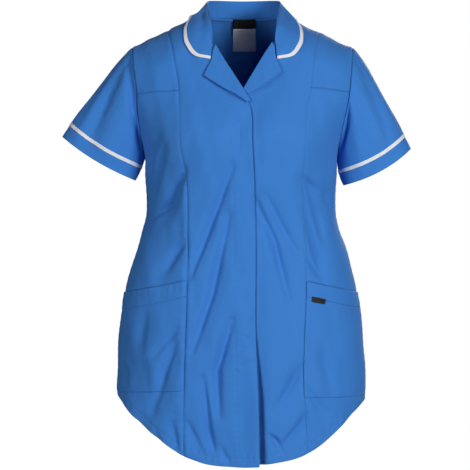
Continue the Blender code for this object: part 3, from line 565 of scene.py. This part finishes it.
def creases(x, z, folds, steep=1.0, gentle=1.0):
    """Depth of all the folds at a point. Their walls on the wearer's left may be the steeper ones."""
    total = np.zeros(np.broadcast(x, z).shape)
    for fold in folds:
        best, along, lean = np.full(total.shape, 9.0), np.zeros(total.shape), np.zeros(total.shape)
        for leg, (ax, az, bx, bz) in enumerate((fold[:4], fold[2:6])):
            length = np.hypot(bx - ax, bz - az)
            t = np.clip(((x - ax) * (bx - ax) + (z - az) * (bz - az)) / length ** 2, 0, 1)
            away = np.hypot(x - mix(ax, bx, t), z - mix(az, bz, t))
            along = np.where(away < best, (leg + t) / 2, along)
            beyond = ((z - az) * (bx - ax) - (x - ax) * (bz - az)) / length * np.sign(az - bz)
            lean = np.where(away < best, np.clip(beyond / np.maximum(away, 1e-6), -1, 1), lean)
            best = np.minimum(best, away)
        width = fold.width * mix(gentle, steep, (1 + lean) / 2)
        total += fold.depth * bump(best, width) * np.sin(pi * mix(*CREASE_ENDS, along))
    return total


def waves(x, z):
    """Broad unevenness that hanging cloth has everywhere."""
    return sum(wave.height * np.sin(2 * pi * (x / wave.across + z / wave.down) + wave.phase)
               for wave in WAVES)


def relief(angle, z):
    """How far the cloth stands out of the plain form."""
    x = body(angle, z)[..., 0]
    away = ((np.abs(x - CENTRE_X) - BUST_X) ** 2 + (z - BUST_Z) ** 2) / BUST_RADIUS ** 2
    front, behind = (creases(x, z, folds) + creases(x, z, fine, STEEP_SIDE, GENTLE_SIDE) * CREASE_GAIN
                     for folds, fine in ((FRONT_FOLDS, FRONT_CREASES), (BACK_FOLDS, BACK_CREASES)))
    return np.where(np.cos(angle) > 0, front + BUST_RISE * np.exp(-away), behind) + waves(x, z)


def cloth(angle, z, lift=0.0):
    return body(angle, z) + normal(angle, z) * (relief(angle, z) + lift)[..., None]


def seam_angle(rows):
    return lambda z: angle_of(column(rows, "z", "x", z), z)


def armhole_angle(sign, behind=False):
    """Edge of a panel at the armhole, then down the side seam."""
    return lambda z: angle_of(sign * column(ARMHOLE, "z", "share", z) * half_width(z, sign), z, behind)


class Panel:
    """Points of a panel between two edges, given as angles at a height, and lines from its bottom
    to its top with the number of rows between them."""

    def __init__(self, name, edges, lines, counts, columns, last_power):
        self.side = "left" if name.endswith("left") else "right"
        self.kind = name.replace("_right", "").replace("_left", "")
        even = np.linspace(0, 1, columns + 1)
        share = even - EDGE_CROWDING * np.sin(2 * pi * even) / (2 * pi)
        steps = [np.arange(int(i > 0), count + 1)[:, None] / count for i, count in enumerate(counts)]
        steps[-1] = 1 - (1 - steps[-1]) ** last_power
        ends = np.cumsum([len(t) for t in steps])
        at_armpit = mix(edges[0](ARMPIT_Z), edges[1](ARMPIT_Z), share)
        x = np.tile(body(at_armpit, np.full(share.shape, ARMPIT_Z))[:, 0], (ends[-1], 1))
        for _ in range(PANEL_PASSES):
            parts = zip(lines, lines[1:], steps, np.split(x, ends[:-1]))
            z = np.concatenate([mix(low(part), high(part), t) for low, high, t, part in parts])
            first, last = edges[0](z), edges[1](z)
            angle = mix(first, last, share)
            x = body(angle, z)[..., 0]
        self.angle, self.x, self.z = angle, x, z
        reach = np.linalg.norm(body(last, z) - body(first, z), axis=-1)
        ways = [np.abs(angle - edge) / np.abs(last - first) * reach for edge in (first, last)]
        self.outer, self.inner = ways if self.side == "right" else ways[::-1]
        self.from_hem = z - lines[0](x)
        self.to_top = lines[-1](x) - z


def seam(distance, along, strength=1.0):
    """Cloth turned in at a seam: a dip at the edge, a low ridge over the allowance and fine puckers."""
    fall = -SEAM_DIP * bump(distance, SEAM_DIP_WIDTH)
    ridge = SEAM_RIDGE * bump(distance - SEAM_RIDGE_AT, SEAM_RIDGE_WIDTH)
    fine = SEAM_PUCKER * puckers(along, *SEAM_WAVES) * bump(distance - 0.003, 0.008)
    return strength * (fall + ridge + fine)


def sewn_line(distance, along, ripple=0.0002):
    """A line of stitches draws the cloth in."""
    fine = ripple * puckers(along, *STITCH_WAVES) * bump(distance, 0.007)
    return fine - GROOVE * bump(distance, GROOVE_WIDTH)


def underlap(x, z):
    """The left front drops behind the right front, at once at its edge, and most of all near the hem."""
    edge = column(FRONT_EDGE["right"], "z", "x", z)
    low = ease((LOW_GAP_TOP_Z - z) / LOW_GAP_LENGTH)
    width = mix(EDGE_GAP_WIDTH, LOW_GAP_WIDTH, low)
    gap = mix(EDGE_GAP, LOW_GAP, low) * ease((edge + width - x) / width)
    return -gap - UNDERLAP_DROP * ease((edge + UNDERLAP_EASE + UNDERLAP_MARGIN - x) / UNDERLAP_EASE)


def beside(grid):
    """Each column of a grid with the columns on both sides of it."""
    return np.stack([np.roll(grid, 1, 1), grid, np.roll(grid, -1, 1)])


def rest_on_body(grid, lift):
    """Move a grid of points out until they clear the cloth by the lift, evenly across its columns."""
    angles, roots = np.meshgrid(np.linspace(-pi, pi, 361), np.linspace(0, 0.44, 120))
    heights = drops = -roots ** 2
    for _ in range(12):
        heights = shoulder_line(body(angles, heights)[..., 0]) + drops
    upright = normal(angles, heights).reshape(-1, 3)
    ground = cloth(angles, heights).reshape(-1, 3)
    tree = KDTree(len(ground))
    for i, point in enumerate(ground):
        tree.insert(point, i)
    tree.balance()
    for _ in range(4):
        nearest = np.array([tree.find(point)[1] for point in grid.reshape(-1, 3)]).reshape(grid.shape[:2])
        way = upright[nearest]
        push = np.maximum(lift - ((grid - ground[nearest]) * way).sum(-1), 0)
        for _ in range(3):
            push = beside(push).max(0)
            way = unit(beside(way).mean(0))
        for _ in range(3):
            push = beside(push).mean(0)
        grid = grid + way * push[..., None]
    return grid


def collar_lines(at):
    """Seam, roll and outer edge of the collar. at runs from -1 at the right notch to 1."""
    anchors = []
    for row in COLLAR:
        at_seam, at_edge = ((angle_of(x + CENTRE_X, z, row.behind), np.asarray(z))
                            for x, z in ((row.seam_x, row.seam_z), (row.edge_x, row.edge_z)))
        anchors.append((body(*at_seam) + normal(*at_seam) * STAND_LIFT - (CENTRE_X, 0, 0),
                        (row.roll_x, row.roll_y, row.roll_z),
                        cloth(*at_edge, np.asarray(COLLAR_LIFT)) - (CENTRE_X, 0, 0)))
    anchors = np.array(anchors)
    anchors[0, :, 0] = 0
    keys = [row.at for row in COLLAR]
    found = [[smooth(np.abs(at), keys, anchors[:, line, axis]) for axis in range(3)] for line in range(3)]
    return [np.stack([x * np.where(at < 0, -1, 1) + CENTRE_X, y, z], -1) for x, y, z in found]


def collar_grids():
    """Collar from neck seam over the roll to the piping, and the strip of piping."""
    at = np.linspace(-1, 1, COLLAR_COLUMNS + 1)
    seam_line, roll, edge = collar_lines(at)
    up = unit(roll - seam_line)
    out = edge - roll
    out = unit(out - up * (out * up).sum(-1, keepdims=True))
    rows = []
    for t in np.arange(STAND_ROWS) / STAND_ROWS:
        wrinkle = STAND_CREASE * np.sin(pi * t) * bump(np.abs(at) - STAND_CREASE_AT - 0.05 * t, 0.022)
        rows.append(mix(seam_line, roll - out * ROLL_RADIUS, t) + out * (wrinkle * (at < 0))[:, None])
    for turn in pi * np.arange(ROLL_ROWS) / ROLL_ROWS:
        rows.append(roll + ROLL_RADIUS * (up * np.sin(turn) - out * np.cos(turn)))
    start = roll + ROLL_RADIUS * out
    inner = 1 - PIPING_WIDTH / np.linalg.norm(edge - start, axis=-1, keepdims=True)
    shares = [inner * k / FALL_ROWS for k in range(FALL_ROWS + 1)]
    shares += [mix(inner, 1, k / PIPING_ROWS) for k in range(1, PIPING_ROWS + 1)]
    fall = np.array([mix(start, edge, t) + up * FALL_BULGE * np.sin(pi * t) for t in shares])
    fall = rest_on_body(fall, COLLAR_LIFT)
    return np.array(rows + list(fall[:FALL_ROWS + 1])), fall[FALL_ROWS:] + (0, 0, PIPING_RAISE)


def lapel_grid(side):
    """A lapel lies on its front and wraps round the front's edge at the roll line."""
    sign, rows = SIDES[side], LAPELS[side]
    at = np.linspace(0, 1, LAPEL_ROWS + 1)
    roll_x, roll_z = (column(rows, "at", name, at) for name in ("roll_x", "roll_z"))
    edge_x, edge_z = (column(rows, "at", name, at, np.interp) for name in ("edge_x", "edge_z"))
    top = TRIM + LAPEL_CLEARANCE
    grid = []
    for turn in pi * np.arange(LAPEL_WRAP_ROWS) / LAPEL_WRAP_ROWS:
        x = roll_x - sign * (WRAP + TRIM * np.sin(turn))
        grid.append((x, roll_z, (top - LAY) / 2 - (top + LAY) / 2 * np.cos(turn)))
    for share in np.arange(LAPEL_COLUMNS + 1) / LAPEL_COLUMNS:
        x = mix(roll_x, edge_x, share) - sign * WRAP * (1 - ease(share * 3))
        lift = top + (LAPEL_BELLY * np.sin(pi * share) + LAPEL_TIP * share ** 3) * np.sin(pi * at)
        grid.append((x, mix(roll_z, edge_z, share), lift))
    return np.array([cloth(angle_of(x, z), z, lift + (underlap(x, z) if side == "left" else 0))
                     for x, z, lift in grid])


def armhole_ring(side, grids):
    """Edges of the panels round an armhole, from the shoulder tip forwards, down, and up behind."""
    front, back = (0, -1) if side == "right" else (-1, 0)
    edges = (
        grids[f"shoulder_yoke_{side}"][::-1, front],
        grids[f"side_front_{side}"][:-ROWS["armpit"] - 2:-1, front],
        grids["back"][-ROWS["armpit"] - 1:, back],
        grids["back_yoke"][:, back],
    )
    ring = []
    for edge, before in zip(edges, (edges[-1],) + edges[:-1]):
        ring.append((before[-1] + edge[0]) / 2)
        ring.extend(edge[1:-1])
    return np.array(ring), ROWS["armpit"] + ROWS["yoke"]


def grid_normals(grid):
    """Outward normals of a closed ring grid whose rows run down the arm."""
    around = (np.roll(grid, -1, 1) - np.roll(grid, 1, 1)) / 2
    found = unit(np.cross(np.gradient(grid, axis=0), around))
    return found * np.sign((found * (grid - grid.mean(1, keepdims=True))).sum(-1).mean())


def sleeve_curves(side, grids):
    """Lines down a sleeve from each point of its armhole, with the sleeve's soft folds in them."""
    sign, cuff = SIDES[side], CUFFS[side]
    start, pit = armhole_ring(side, grids)
    steps = np.linalg.norm(np.roll(start, -1, 0) - start, axis=-1)
    front, behind = steps[:pit].sum(), steps[pit:].sum()
    run = np.concatenate([[0], np.cumsum(steps)[:-1]])
    turn = np.where(run < front - 1e-9, run / front, 1 + (run - front) / behind)[:, None] * pi
    upright = normal(angle_of(start[:, 0], start[:, 2], turn[:, 0] > pi), start[:, 2])
    away = unit(np.cross(upright, np.roll(start, -3, 0) - np.roll(start, 3, 0)))
    away *= np.sign((away * (sign, 0, 0.2)).sum(-1, keepdims=True))
    lower = ease((1 - np.cos(turn)) / 1.2)
    start = start + away * SLEEVE_GAP + upright * SLEEVE_GAP * lower
    outer = np.array((cuff.outer_x, cuff.y, cuff.outer_z))
    inner = np.array((cuff.inner_x, cuff.y, cuff.inner_z))
    across = (inner - outer) / 2
    axis = unit(np.array((across[2] * -sign, 0, across[0] * sign)))
    end = (outer + inner) / 2 - across * np.cos(turn) - np.array((0, cuff.half_depth, 0)) * np.sin(turn)
    end = end + axis * cuff.bow * np.maximum(np.sin(turn), 0) ** 2
    slope = unit(np.array((sign, 0, -SHOULDERS[side].fall)))
    under = ease(-np.cos(turn))
    hang = unit(mix(axis, np.array((0, 0, -1.0)), UNDERARM_DROP * under))
    leave = unit(mix(slope, unit(mix(hang, upright, SLEEVE_STAND * (1 - 0.5 * under))), lower))
    t = np.linspace(0, 1, CURVE_STEPS + 1)[:, None, None]
    length = np.linalg.norm(end - start, axis=-1, keepdims=True)
    length = length / length.max()
    curve = ((1 + 2 * t) * (1 - t) ** 2 * start + t * t * (3 - 2 * t) * end
             + t * (1 - t) ** 2 * leave * CAP_EASE * length
             - t * t * (1 - t) * axis * CUFF_EASE * mix(length, 1, under))
    down = run_lengths(curve)
    around = turn[:, 0][None] * ARM_RADIUS
    height = waves(around, -down)
    for fold in SLEEVE_FOLDS[side]:
        first = radians(fold.turn1) * ARM_RADIUS
        wide, tall = radians(fold.turn2) * ARM_RADIUS - first, fold.down2 - fold.down1
        from_x, from_z = around - first, down - fold.down1
        part = np.clip((from_x * wide + from_z * tall) / (wide ** 2 + tall ** 2), 0, 1)
        apart = np.hypot(from_x - part * wide, from_z - part * tall)
        height += fold.depth * bump(apart, fold.width) * np.sin(pi * mix(*SLEEVE_FOLD_ENDS, part))
    to_hem = down[-1] - down
    height = height * ease(down / ARMHOLE_HOLD) * ease((to_hem + CUFF_HOLD / 3) / CUFF_HOLD)
    height += SLEEVE_HEAD * (1 - bump(down, SEAM_DIP_WIDTH)) * ease(to_hem / SLEEVE_HEAD_FADE)
    return curve + grid_normals(curve) * height[..., None]


def sleeve_grid(curve, hem_distances, lift=0.0):
    """Rings of a sleeve at distances from its hem; the whole length stands for the armhole."""
    up = curve[::-1]
    from_hem = run_lengths(up)
    rings = []
    for share, distance in hem_distances:
        ring = np.array([[np.interp(mix(from_hem[-1, k], distance, share), from_hem[:, k], up[:, k, axis])
                          for axis in range(3)] for k in range(curve.shape[1])])
        rings.append(ring + unit(ring - ring.mean(0)) * lift)
    return np.array(rings)


def place(name, data):
    """A new object in the scene."""
    thing = bpy.data.objects.new(name, data)
    bpy.context.scene.collection.objects.link(thing)
    return thing


def add_piece(name, points, faces, material):
    """A mesh that is a visible piece of the one body."""
    mesh = bpy.data.meshes.new(name)
    mesh.from_pydata(points.reshape(-1, 3).tolist(), [], faces)
    mesh.update()
    mesh.materials.append(material)
    thing = place(name, mesh)
    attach(thing, "root")
    return thing


class Shells:
    """Thin shells, each standing for its node."""

    def __init__(self):
        self.materials = {kind: woven(*row) for kind, row in FABRICS.items()}
        self.made = {}

    def add(self, node, grid, kind="cloth", closed=False, facing=None):
        """Mesh from rows of points, given its thickness by a Solidify modifier."""
        rows, columns = grid.shape[:2]
        spans = columns if closed else columns - 1
        r, c = np.meshgrid(np.arange(rows - 1) * columns, np.arange(spans), indexing="ij")
        d = (c + 1) % columns
        faces = np.stack([r + c, r + d, r + columns + d, r + columns + c], -1)
        name = f"{node}_cloth" if kind == "cloth" else f"{node}_tape"
        thing = add_piece(name, grid, faces.reshape(-1, 4).tolist(), self.materials[kind])
        mesh = thing.data
        if facing is not None:
            middles = np.array([polygon.center for polygon in mesh.polygons])
            normals = np.array([polygon.normal for polygon in mesh.polygons])
            if (normals * (middles - grid.mean((0, 1)) if facing == "out" else facing)).sum() < 0:
                mesh.flip_normals()
        mesh.shade_smooth()
        add_weave(mesh, grid)
        wall = thing.modifiers.new("Shell", "SOLIDIFY")
        wall.thickness = SHELL if kind in ("cloth", "piping") else TAPE_SHELL
        wall.offset = -1
        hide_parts(node)
        self.made[node] = thing


def add_weave(mesh, grid):
    """Keep each point's distance across and down the cloth, for the threads."""
    across = run_lengths(grid.swapaxes(0, 1)).T
    weave = np.stack([across, run_lengths(grid), 0 * across], -1)
    attribute = mesh.attributes.new("weave", "FLOAT_VECTOR", "POINT")
    attribute.data.foreach_set("vector", weave.astype(np.float32).ravel())


class Threads:
    """Rows of stitches gathered into one mesh for each name."""

    def __init__(self):
        self.points = {}
        self.faces = {}

    def sew(self, name, path, upright):
        """Stitches along a path of points, each lying on the cloth with its ends sunk in."""
        runs = run_lengths(path)
        starts = np.arange(int((runs[-1] - STITCH_GAP) / (STITCH_LENGTH + STITCH_GAP)))
        starts = STITCH_GAP + starts * (STITCH_LENGTH + STITCH_GAP)
        points = self.points.setdefault(name, [])
        faces = self.faces.setdefault(name, [])

        def read(values, at):
            return np.stack([np.interp(at, runs, values[:, axis]) for axis in range(3)], -1)

        begin, middle, end = (read(path, starts + part * STITCH_LENGTH) for part in (0, 0.5, 1))
        up = unit(read(upright, starts + STITCH_LENGTH / 2))
        aside = unit(np.cross(up, end - begin)) * STITCH_WIDTH / 2
        up = up * STITCH_HEIGHT
        first = sum(len(block) for block in points)
        ring = [begin - up / 3, middle + aside + up / 3, middle + up, middle - aside + up / 3,
                middle - up / 3, end - up / 3]
        points.append(np.stack(ring, 1).reshape(-1, 3))
        for at in range(first, first + 6 * len(starts), 6):
            for a, b in ((1, 2), (2, 3), (3, 4), (4, 1)):
                faces += [(at, at + b, at + a), (at + 5, at + a, at + b)]

    def build(self, material, slot):
        return {name: add_piece(name, np.concatenate(blocks), self.faces[name], material)
                for name, blocks in self.points.items()}


def new_material(name, colour, **inputs):
    """Principled shader, and the node tree that its pattern is added to."""
    material = bpy.data.materials.new(name)
    material.use_nodes = True
    shader = material.node_tree.nodes["Principled BSDF"]
    shader.inputs["Base Color"].default_value = (*colour, 1)
    for socket, value in inputs.items():
        shader.inputs[socket.replace("_", " ")].default_value = value
    return material, material.node_tree, shader


def add_node(tree, kind, inputs, **settings):
    """A node with its inputs set to values or linked to sockets, and its outputs."""
    node = tree.nodes.new(f"ShaderNode{kind}")
    for name, value in settings.items():
        setattr(node, name, value)
    for name, value in inputs.items():
        if isinstance(value, bpy.types.NodeSocket):
            tree.links.new(value, node.inputs[name])
        else:
            node.inputs[name].default_value = value
    return node.outputs


def raise_threads(tree, shader, height, strength, distance):
    """Bump on a shader's normal."""
    inputs = {"Strength": strength, "Distance": distance, "Height": height}
    tree.links.new(add_node(tree, "Bump", inputs)["Normal"], shader.inputs["Normal"])


def woven(name, colour, thread, roughness, sheen, turn, contrast, slub):
    """Plain weave: crossing threads from each point's place on the cloth, with slubs and soft patches."""
    material, tree, shader = new_material(name, colour, Roughness=roughness, Sheen_Weight=sheen, **FABRIC)

    def maths(operation, *values):
        return add_node(tree, "Math", dict(enumerate(values)), operation=operation)[0]

    place = add_node(tree, "Attribute", {}, attribute_name="weave")["Vector"]
    turned = {"Angle": turn, "Vector": place}
    place = add_node(tree, "VectorRotate", turned, rotation_type="Z_AXIS")["Vector"]
    axes = add_node(tree, "SeparateXYZ", {"Vector": place})
    warp, weft = (maths("SINE", maths("MULTIPLY", axes[axis], 2 * pi / thread)) for axis in "XY")
    over = maths("MULTIPLY", warp, weft)
    slub_scale = (1 / SLUB_WIDTH, 1 / SLUB_LENGTH, 1)
    stretched = add_node(tree, "Mapping", {"Scale": slub_scale, "Vector": place})["Vector"]
    slubs = add_node(tree, "TexNoise", {"Scale": 1.0, "Detail": 3.0, "Vector": stretched})["Fac"]
    patches = add_node(tree, "TexNoise", {"Scale": 1 / PATCH_SIZE, "Detail": 2.0, "Vector": place})["Fac"]
    shade = maths("MULTIPLY", over, contrast / 2)
    for noise in (slubs, patches):
        shade = maths("ADD", shade, maths("MULTIPLY", maths("SUBTRACT", noise, 0.5), slub))
    inputs = {0: colour, "Scale": maths("ADD", shade, 1.0)}
    shaded = add_node(tree, "VectorMath", inputs, operation="SCALE")["Vector"]
    tree.links.new(shaded, shader.inputs["Base Color"])
    raise_threads(tree, shader, maths("ADD", over, maths("MULTIPLY", slubs, 2.0)), 0.35, thread / 8)
    return material


def thread_material():
    """Sewing thread: blue like the cloth, with a twist."""
    material, tree, shader = new_material("sewing_thread", THREAD_COLOUR,
                                          Roughness=0.6, Sheen_Weight=0.1, **FABRIC)
    place = add_node(tree, "TexCoord", {})["Object"]
    twist = add_node(tree, "TexNoise", {"Scale": 1 / THREAD_TWIST, "Vector": place})["Fac"]
    raise_threads(tree, shader, twist, 0.5, TWIST_DEPTH)
    return material


def make_panels():
    """Fronts, side fronts, shoulder yokes and back, and the pockets from the side fronts' lines."""
    panels = {}

    def add(name, width, edges, lines, bands, last_power=1.0):
        counts = [ROWS[band] for band in bands.split()]
        panels[name] = Panel(name, edges, lines, counts, COLUMNS[width], last_power)

    for side, sign in SIDES.items():
        princess, edge = seam_angle(PRINCESS[side]), seam_angle(FRONT_EDGE[side])
        outer = armhole_angle(sign)
        yoke, mouth, band, bottom = (slant(side, name) for name in SLANTS[side])
        hem = hem_line(side)
        lines = [hem, shifted(hem, HEM_STITCH * 1.5), bottom, band, mouth, shifted(mouth, MOUTH),
                 armpit_line, yoke, shoulder_line]
        add(f"front_{side}", "front", (princess, edge)[::-sign], lines, SIDE_BANDS + " yoke", 2)
        edges = (outer, princess)[::-sign]
        add(f"side_front_{side}", "side_front", edges, lines[:8], SIDE_BANDS)
        add(f"shoulder_yoke_{side}", "shoulder_yoke", edges, lines[7:], "yoke", 2)
        add(f"pocket_{side}", "side_front", edges, lines[2:4], "pocket")
        add(f"pocket_band_{side}", "side_front", edges, lines[3:5], "band")
    right = armhole_angle(-1, True)
    edges = (armhole_angle(1, True), lambda z: right(z) % (2 * pi))
    lines = [back_hem_line, shifted(back_hem_line, HEM_STITCH * 1.5), armpit_line, back_yoke_line,
             back_top_line]
    add("back", "back", edges, lines[:4], "hem back armpit")
    add("back_yoke", "back", edges, lines[3:], "yoke", 2)
    return panels


def gape(side, x, z):
    """A pocket's mouth stands away between its two seams."""
    inner = np.abs(column(PRINCESS[side], "z", "x", z))
    share = np.clip((np.abs(x) - inner) / (half_width(z, SIDES[side]) - inner), 0, 1)
    below = slant(side, "pocket_top")(x) - z
    return POCKET_GAPE * np.sin(pi * share) ** 1.5 * ease(1 - below / GAPE_DEPTH)


def fly_lift(fly, x, z):
    """The right front's edge: its sewn line, a bar tack, and how it turns in and stands away low down."""
    edge = column(FRONT_EDGE["right"], "z", "x", z)
    flare = ease((x - edge + FLARE_WIDTH) / FLARE_WIDTH) * ease((FLARE_TOP_Z - z) / FLARE_LENGTH)
    sewn = sewn_line(fly - FLY_WIDTH, z) * ease((FLY_TOP_Z - z) / 0.03)
    tack = bump(z - TACK_Z, TACK_HALF) * bump(fly - FLY_WIDTH / 2, FLY_WIDTH / 1.9)
    return FLARE_RISE * flare + sewn - TACK_DEPTH * tack - EDGE_TURN * bump(fly, EDGE_TURN_WIDTH)


def panel_lift(panel):
    """Small relief of one panel: its seams, its hem, its sewn lines and what stands away."""
    x, z, side, kind, inner, outer = panel.x, panel.z, panel.side, panel.kind, panel.inner, panel.outer
    princess = column(PRINCESS_DEPTH, "z", side, z)
    cross = 1 if kind.startswith("back") else CROSS_SEAM
    if kind == "front":
        lift = seam(outer, z, princess) + creases(x, z, UNDER_LAPEL[side])
        lift += fly_lift(inner, x, z) if side == "right" else underlap(x, z)
    else:
        lift = seam(inner, z, 1 if kind.startswith("back") else princess) + seam(outer, z)
    if kind in ("front", "side_front", "back"):
        lift += sewn_line(panel.from_hem - HEM_STITCH, x, HEM_PUCKER)
        lift += HEM_ROLL * bump(panel.from_hem, HEM_ROLL_WIDTH) * np.sin(2 * pi * x / HEM_ROLL_LENGTH)
    if kind in ("side_front", "back"):
        lift += seam(panel.to_top, x, cross)
    if kind in ("shoulder_yoke", "back_yoke"):
        lift += seam(panel.from_hem, x, cross)
    if kind == "side_front":
        below = ease((slant(side, "pocket_top")(x) + MOUTH - z) / MOUTH)
        within = ease((z - slant(side, "pocket_bottom")(x)) / 0.02) * ease(np.minimum(inner, outer) / 0.006)
        lift -= MOUTH_DEPTH * below * within
    if kind.startswith("pocket"):
        lift += LAY + TRIM + gape(side, x, z)
    if kind == "pocket":
        lift -= GROOVE * bump(panel.to_top, 0.0018) + POCKET_LOW * ease(1 - panel.from_hem / POCKET_FADE)
    if kind == "pocket_band":
        ripple = puckers(x, *BAND_WAVES) * bump(panel.to_top - 0.012, 0.012)
        lift += BAND_STEP + BAND_RIPPLE[side] * ripple + sewn_line(panel.from_hem - EDGE_STITCH, x)
    return lift


def make_sleeves(shells, grids):
    top = SLEEVE_BAND + PIPING_WIDTH
    proud = PIPING_LIFT + PIPING_RAISE
    curves = {}
    for side in SIDES:
        curve = curves[side] = sleeve_curves(side, grids)
        for name, kind, count, lift, first, last in (
                ("sleeve", "cloth", SLEEVE_ROWS, 0, (0, top), (1, top)),
                ("sleeve_piping", "piping", PIPING_ROWS, proud, (1, top), (1, SLEEVE_BAND)),
                ("cuff", "cloth", CUFF_ROWS, 0, (1, SLEEVE_BAND), (1, 0))):
            steps = np.linspace(first, last, count + 1)
            shells.add(f"{name}_{side}", sleeve_grid(curve, steps, lift), kind, True, "out")
    return curves


def make_labels(shells):
    (ax, az), (bx, bz), (cx, cz), (dx, dz) = TAB
    u, v = np.meshgrid(np.linspace(0, 1, 25), np.linspace(0, 1, 11))
    xs = mix(mix(ax, bx, u), mix(dx, cx, u), v)
    zs = mix(mix(az, bz, u), mix(dz, cz, u), v)
    lift = LAY + TRIM + BAND_STEP + LAY + LABEL + gape("left", xs, zs)
    shells.add("pocket_tab", cloth(angle_of(xs, zs), zs, lift), "black")
    xs = np.linspace(*LABEL_X[::-1], 25)
    levels = [np.full(25, z) for z in (LABEL_TOP_Z, LABEL_BOTTOM_Z)]
    ends = [cloth(angle_of(xs, z, True), z, -CLOTH - LABEL_SLACK + 0 * xs) for z in levels]
    split = (LABEL_TOP_Z - LABEL_SPLIT_Z) / (LABEL_TOP_Z - LABEL_BOTTOM_Z)
    for name, low, high, kind in (("top", split, 0, "black"), ("bottom", 1, split, "grey")):
        rows = [mix(*ends, t) for t in np.linspace(low, high, 21)]
        shells.add(f"neck_label_{name}", np.array(rows), kind)


def read_rows(values, wanted, grids):
    """Where each row of values reaches the wanted one, read from grids of the same shape."""
    found = [[] for _ in grids]
    for k, order in enumerate(np.argsort(values)):
        for grid, into in zip(grids, found):
            into.append([np.interp(wanted, values[k, order], grid[k, order, axis]) for axis in range(3)])
    return [np.array(rows) for rows in found]


def sew_body(threads, panels):
    """Stitch lines that lie on the panels: hem, fly, yokes, pockets and armholes."""
    for name, panel in panels.items():
        grids = [cloth(panel.angle, panel.z, panel_lift(panel) + STITCH_LIFT), normal(panel.angle, panel.z)]
        for measure, wanted in SEWN[panel.kind].items():
            fly = wanted == FLY_WIDTH
            if fly and panel.side == "left":
                continue
            values, tables = getattr(panel, measure), grids
            if measure in ("from_hem", "to_top"):
                values, tables = values.T, [grid.swapaxes(0, 1) for grid in grids]
            path, ups = read_rows(values, wanted, tables)
            keep = path[:, 2] < FLY_TOP_Z if fly else slice(1, -1)
            threads.sew(f"{name}_stitches", path[keep], ups[keep])


def sew_edges(threads, curves, grid, lapels):
    """Stitch lines on the cuffs below the piping, along the collar's outer edge and round the lapels."""
    for side, curve in curves.items():
        ring = sleeve_grid(curve, [(1, SLEEVE_BAND - EDGE_STITCH)], STITCH_LIFT)[0]
        ring = np.concatenate([ring, ring[:1]])
        threads.sew(f"cuff_{side}_stitches", ring, unit(ring - ring.mean(0)))
    edges = [("collar", grid[-3:], slice(2, -2), (0, -0.3, 1))]
    inset = int(LAPEL_COLUMNS * 0.88) + LAPEL_WRAP_ROWS
    for side, points in lapels.items():
        edges.append((f"lapel_{side}", points[inset - 1:inset + 2], slice(2, -3), (0, -1, 0)))
    for name, rows, keep, outwards in edges:
        upright = unit(np.cross(np.gradient(rows[1], axis=0), rows[2] - rows[0]))
        upright = (upright * np.sign((upright[keep] * outwards).sum(-1).mean()))[keep]
        threads.sew(f"{name}_stitches", rows[1, keep] + upright * STITCH_LIFT, upright)


def make_camera():
    """Level with the middle of the garment, with the picture's frame."""
    data = bpy.data.cameras.new("camera")
    data.sensor_width = SENSOR
    data.lens = SENSOR * CAMERA_DISTANCE / FRAME_WIDTH
    camera = place("camera", data)
    camera.location = (CAMERA_X, -CAMERA_DISTANCE, CAMERA_Z)
    camera.rotation_euler = (pi / 2, 0, 0)
    bpy.context.scene.camera = camera
    bpy.context.scene.view_settings.view_transform = "Standard"


def add_stage(name, material):
    """The object just made becomes the floor or the backdrop, and throws no light on the cloth."""
    thing = bpy.context.object
    thing.name = name
    thing.data.materials.append(material)
    thing.visible_diffuse = False
    return thing


def make_studio():
    """Soft boxes, a dim world, a pale floor below the worn height and a white backdrop all round."""
    for row in LIGHTS:
        data = bpy.data.lights.new(row.name, "AREA")
        data.shape, data.size, data.energy = "SQUARE", row.size, row.power
        light = place(row.name, data)
        light.location = (row.x, row.y, row.z)
        light.rotation_euler = (Vector(LIGHT_TARGET) - light.location).to_track_quat("-Z", "Y").to_euler()
    world = bpy.data.worlds.new("studio")
    world.use_nodes = True
    background = world.node_tree.nodes["Background"]
    background.inputs["Color"].default_value = WHITE
    background.inputs["Strength"].default_value = WORLD_STRENGTH
    bpy.context.scene.world = world
    material = new_material("pale_floor", FLOOR_COLOUR, Roughness=0.9, Emission_Color=WHITE,
                            Emission_Strength=FLOOR_GLOW, **FABRIC)[0]
    bpy.ops.mesh.primitive_plane_add(size=FLOOR_SIZE, location=(0, 0, FLOOR_Z))
    add_stage("floor", material)
    material = new_material("white_sweep", (0, 0, 0), Emission_Color=WHITE, Emission_Strength=SWEEP_GLOW)[0]
    bpy.ops.mesh.primitive_uv_sphere_add(segments=64, ring_count=32, radius=SWEEP_RADIUS,
                                         location=(0, 0, CAMERA_Z))
    sweep = add_stage("sweep", material)
    sweep.visible_glossy = sweep.visible_transmission = sweep.visible_shadow = False


def main():
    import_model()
    shells, threads = Shells(), Threads()
    panels = make_panels()
    grids = {name: cloth(panel.angle, panel.z, panel_lift(panel)) for name, panel in panels.items()}
    for name, grid in grids.items():
        shells.add(name, grid)
    curves = make_sleeves(shells, grids)
    collar, strip = collar_grids()
    shells.add("collar", collar, facing=(0, 0, 1))
    shells.add("collar_piping", strip, "piping", facing=(0, 0, 1))
    lapels = {side: lapel_grid(side) for side in SIDES}
    for side, grid in lapels.items():
        shells.add(f"lapel_{side}", grid, facing=(0, -1, 0))
    make_labels(shells)
    sew_body(threads, panels)
    sew_edges(threads, curves, collar, lapels)
    threads.build(thread_material(), SLOTS["cloth"])
    make_camera()
    make_studio()


main()
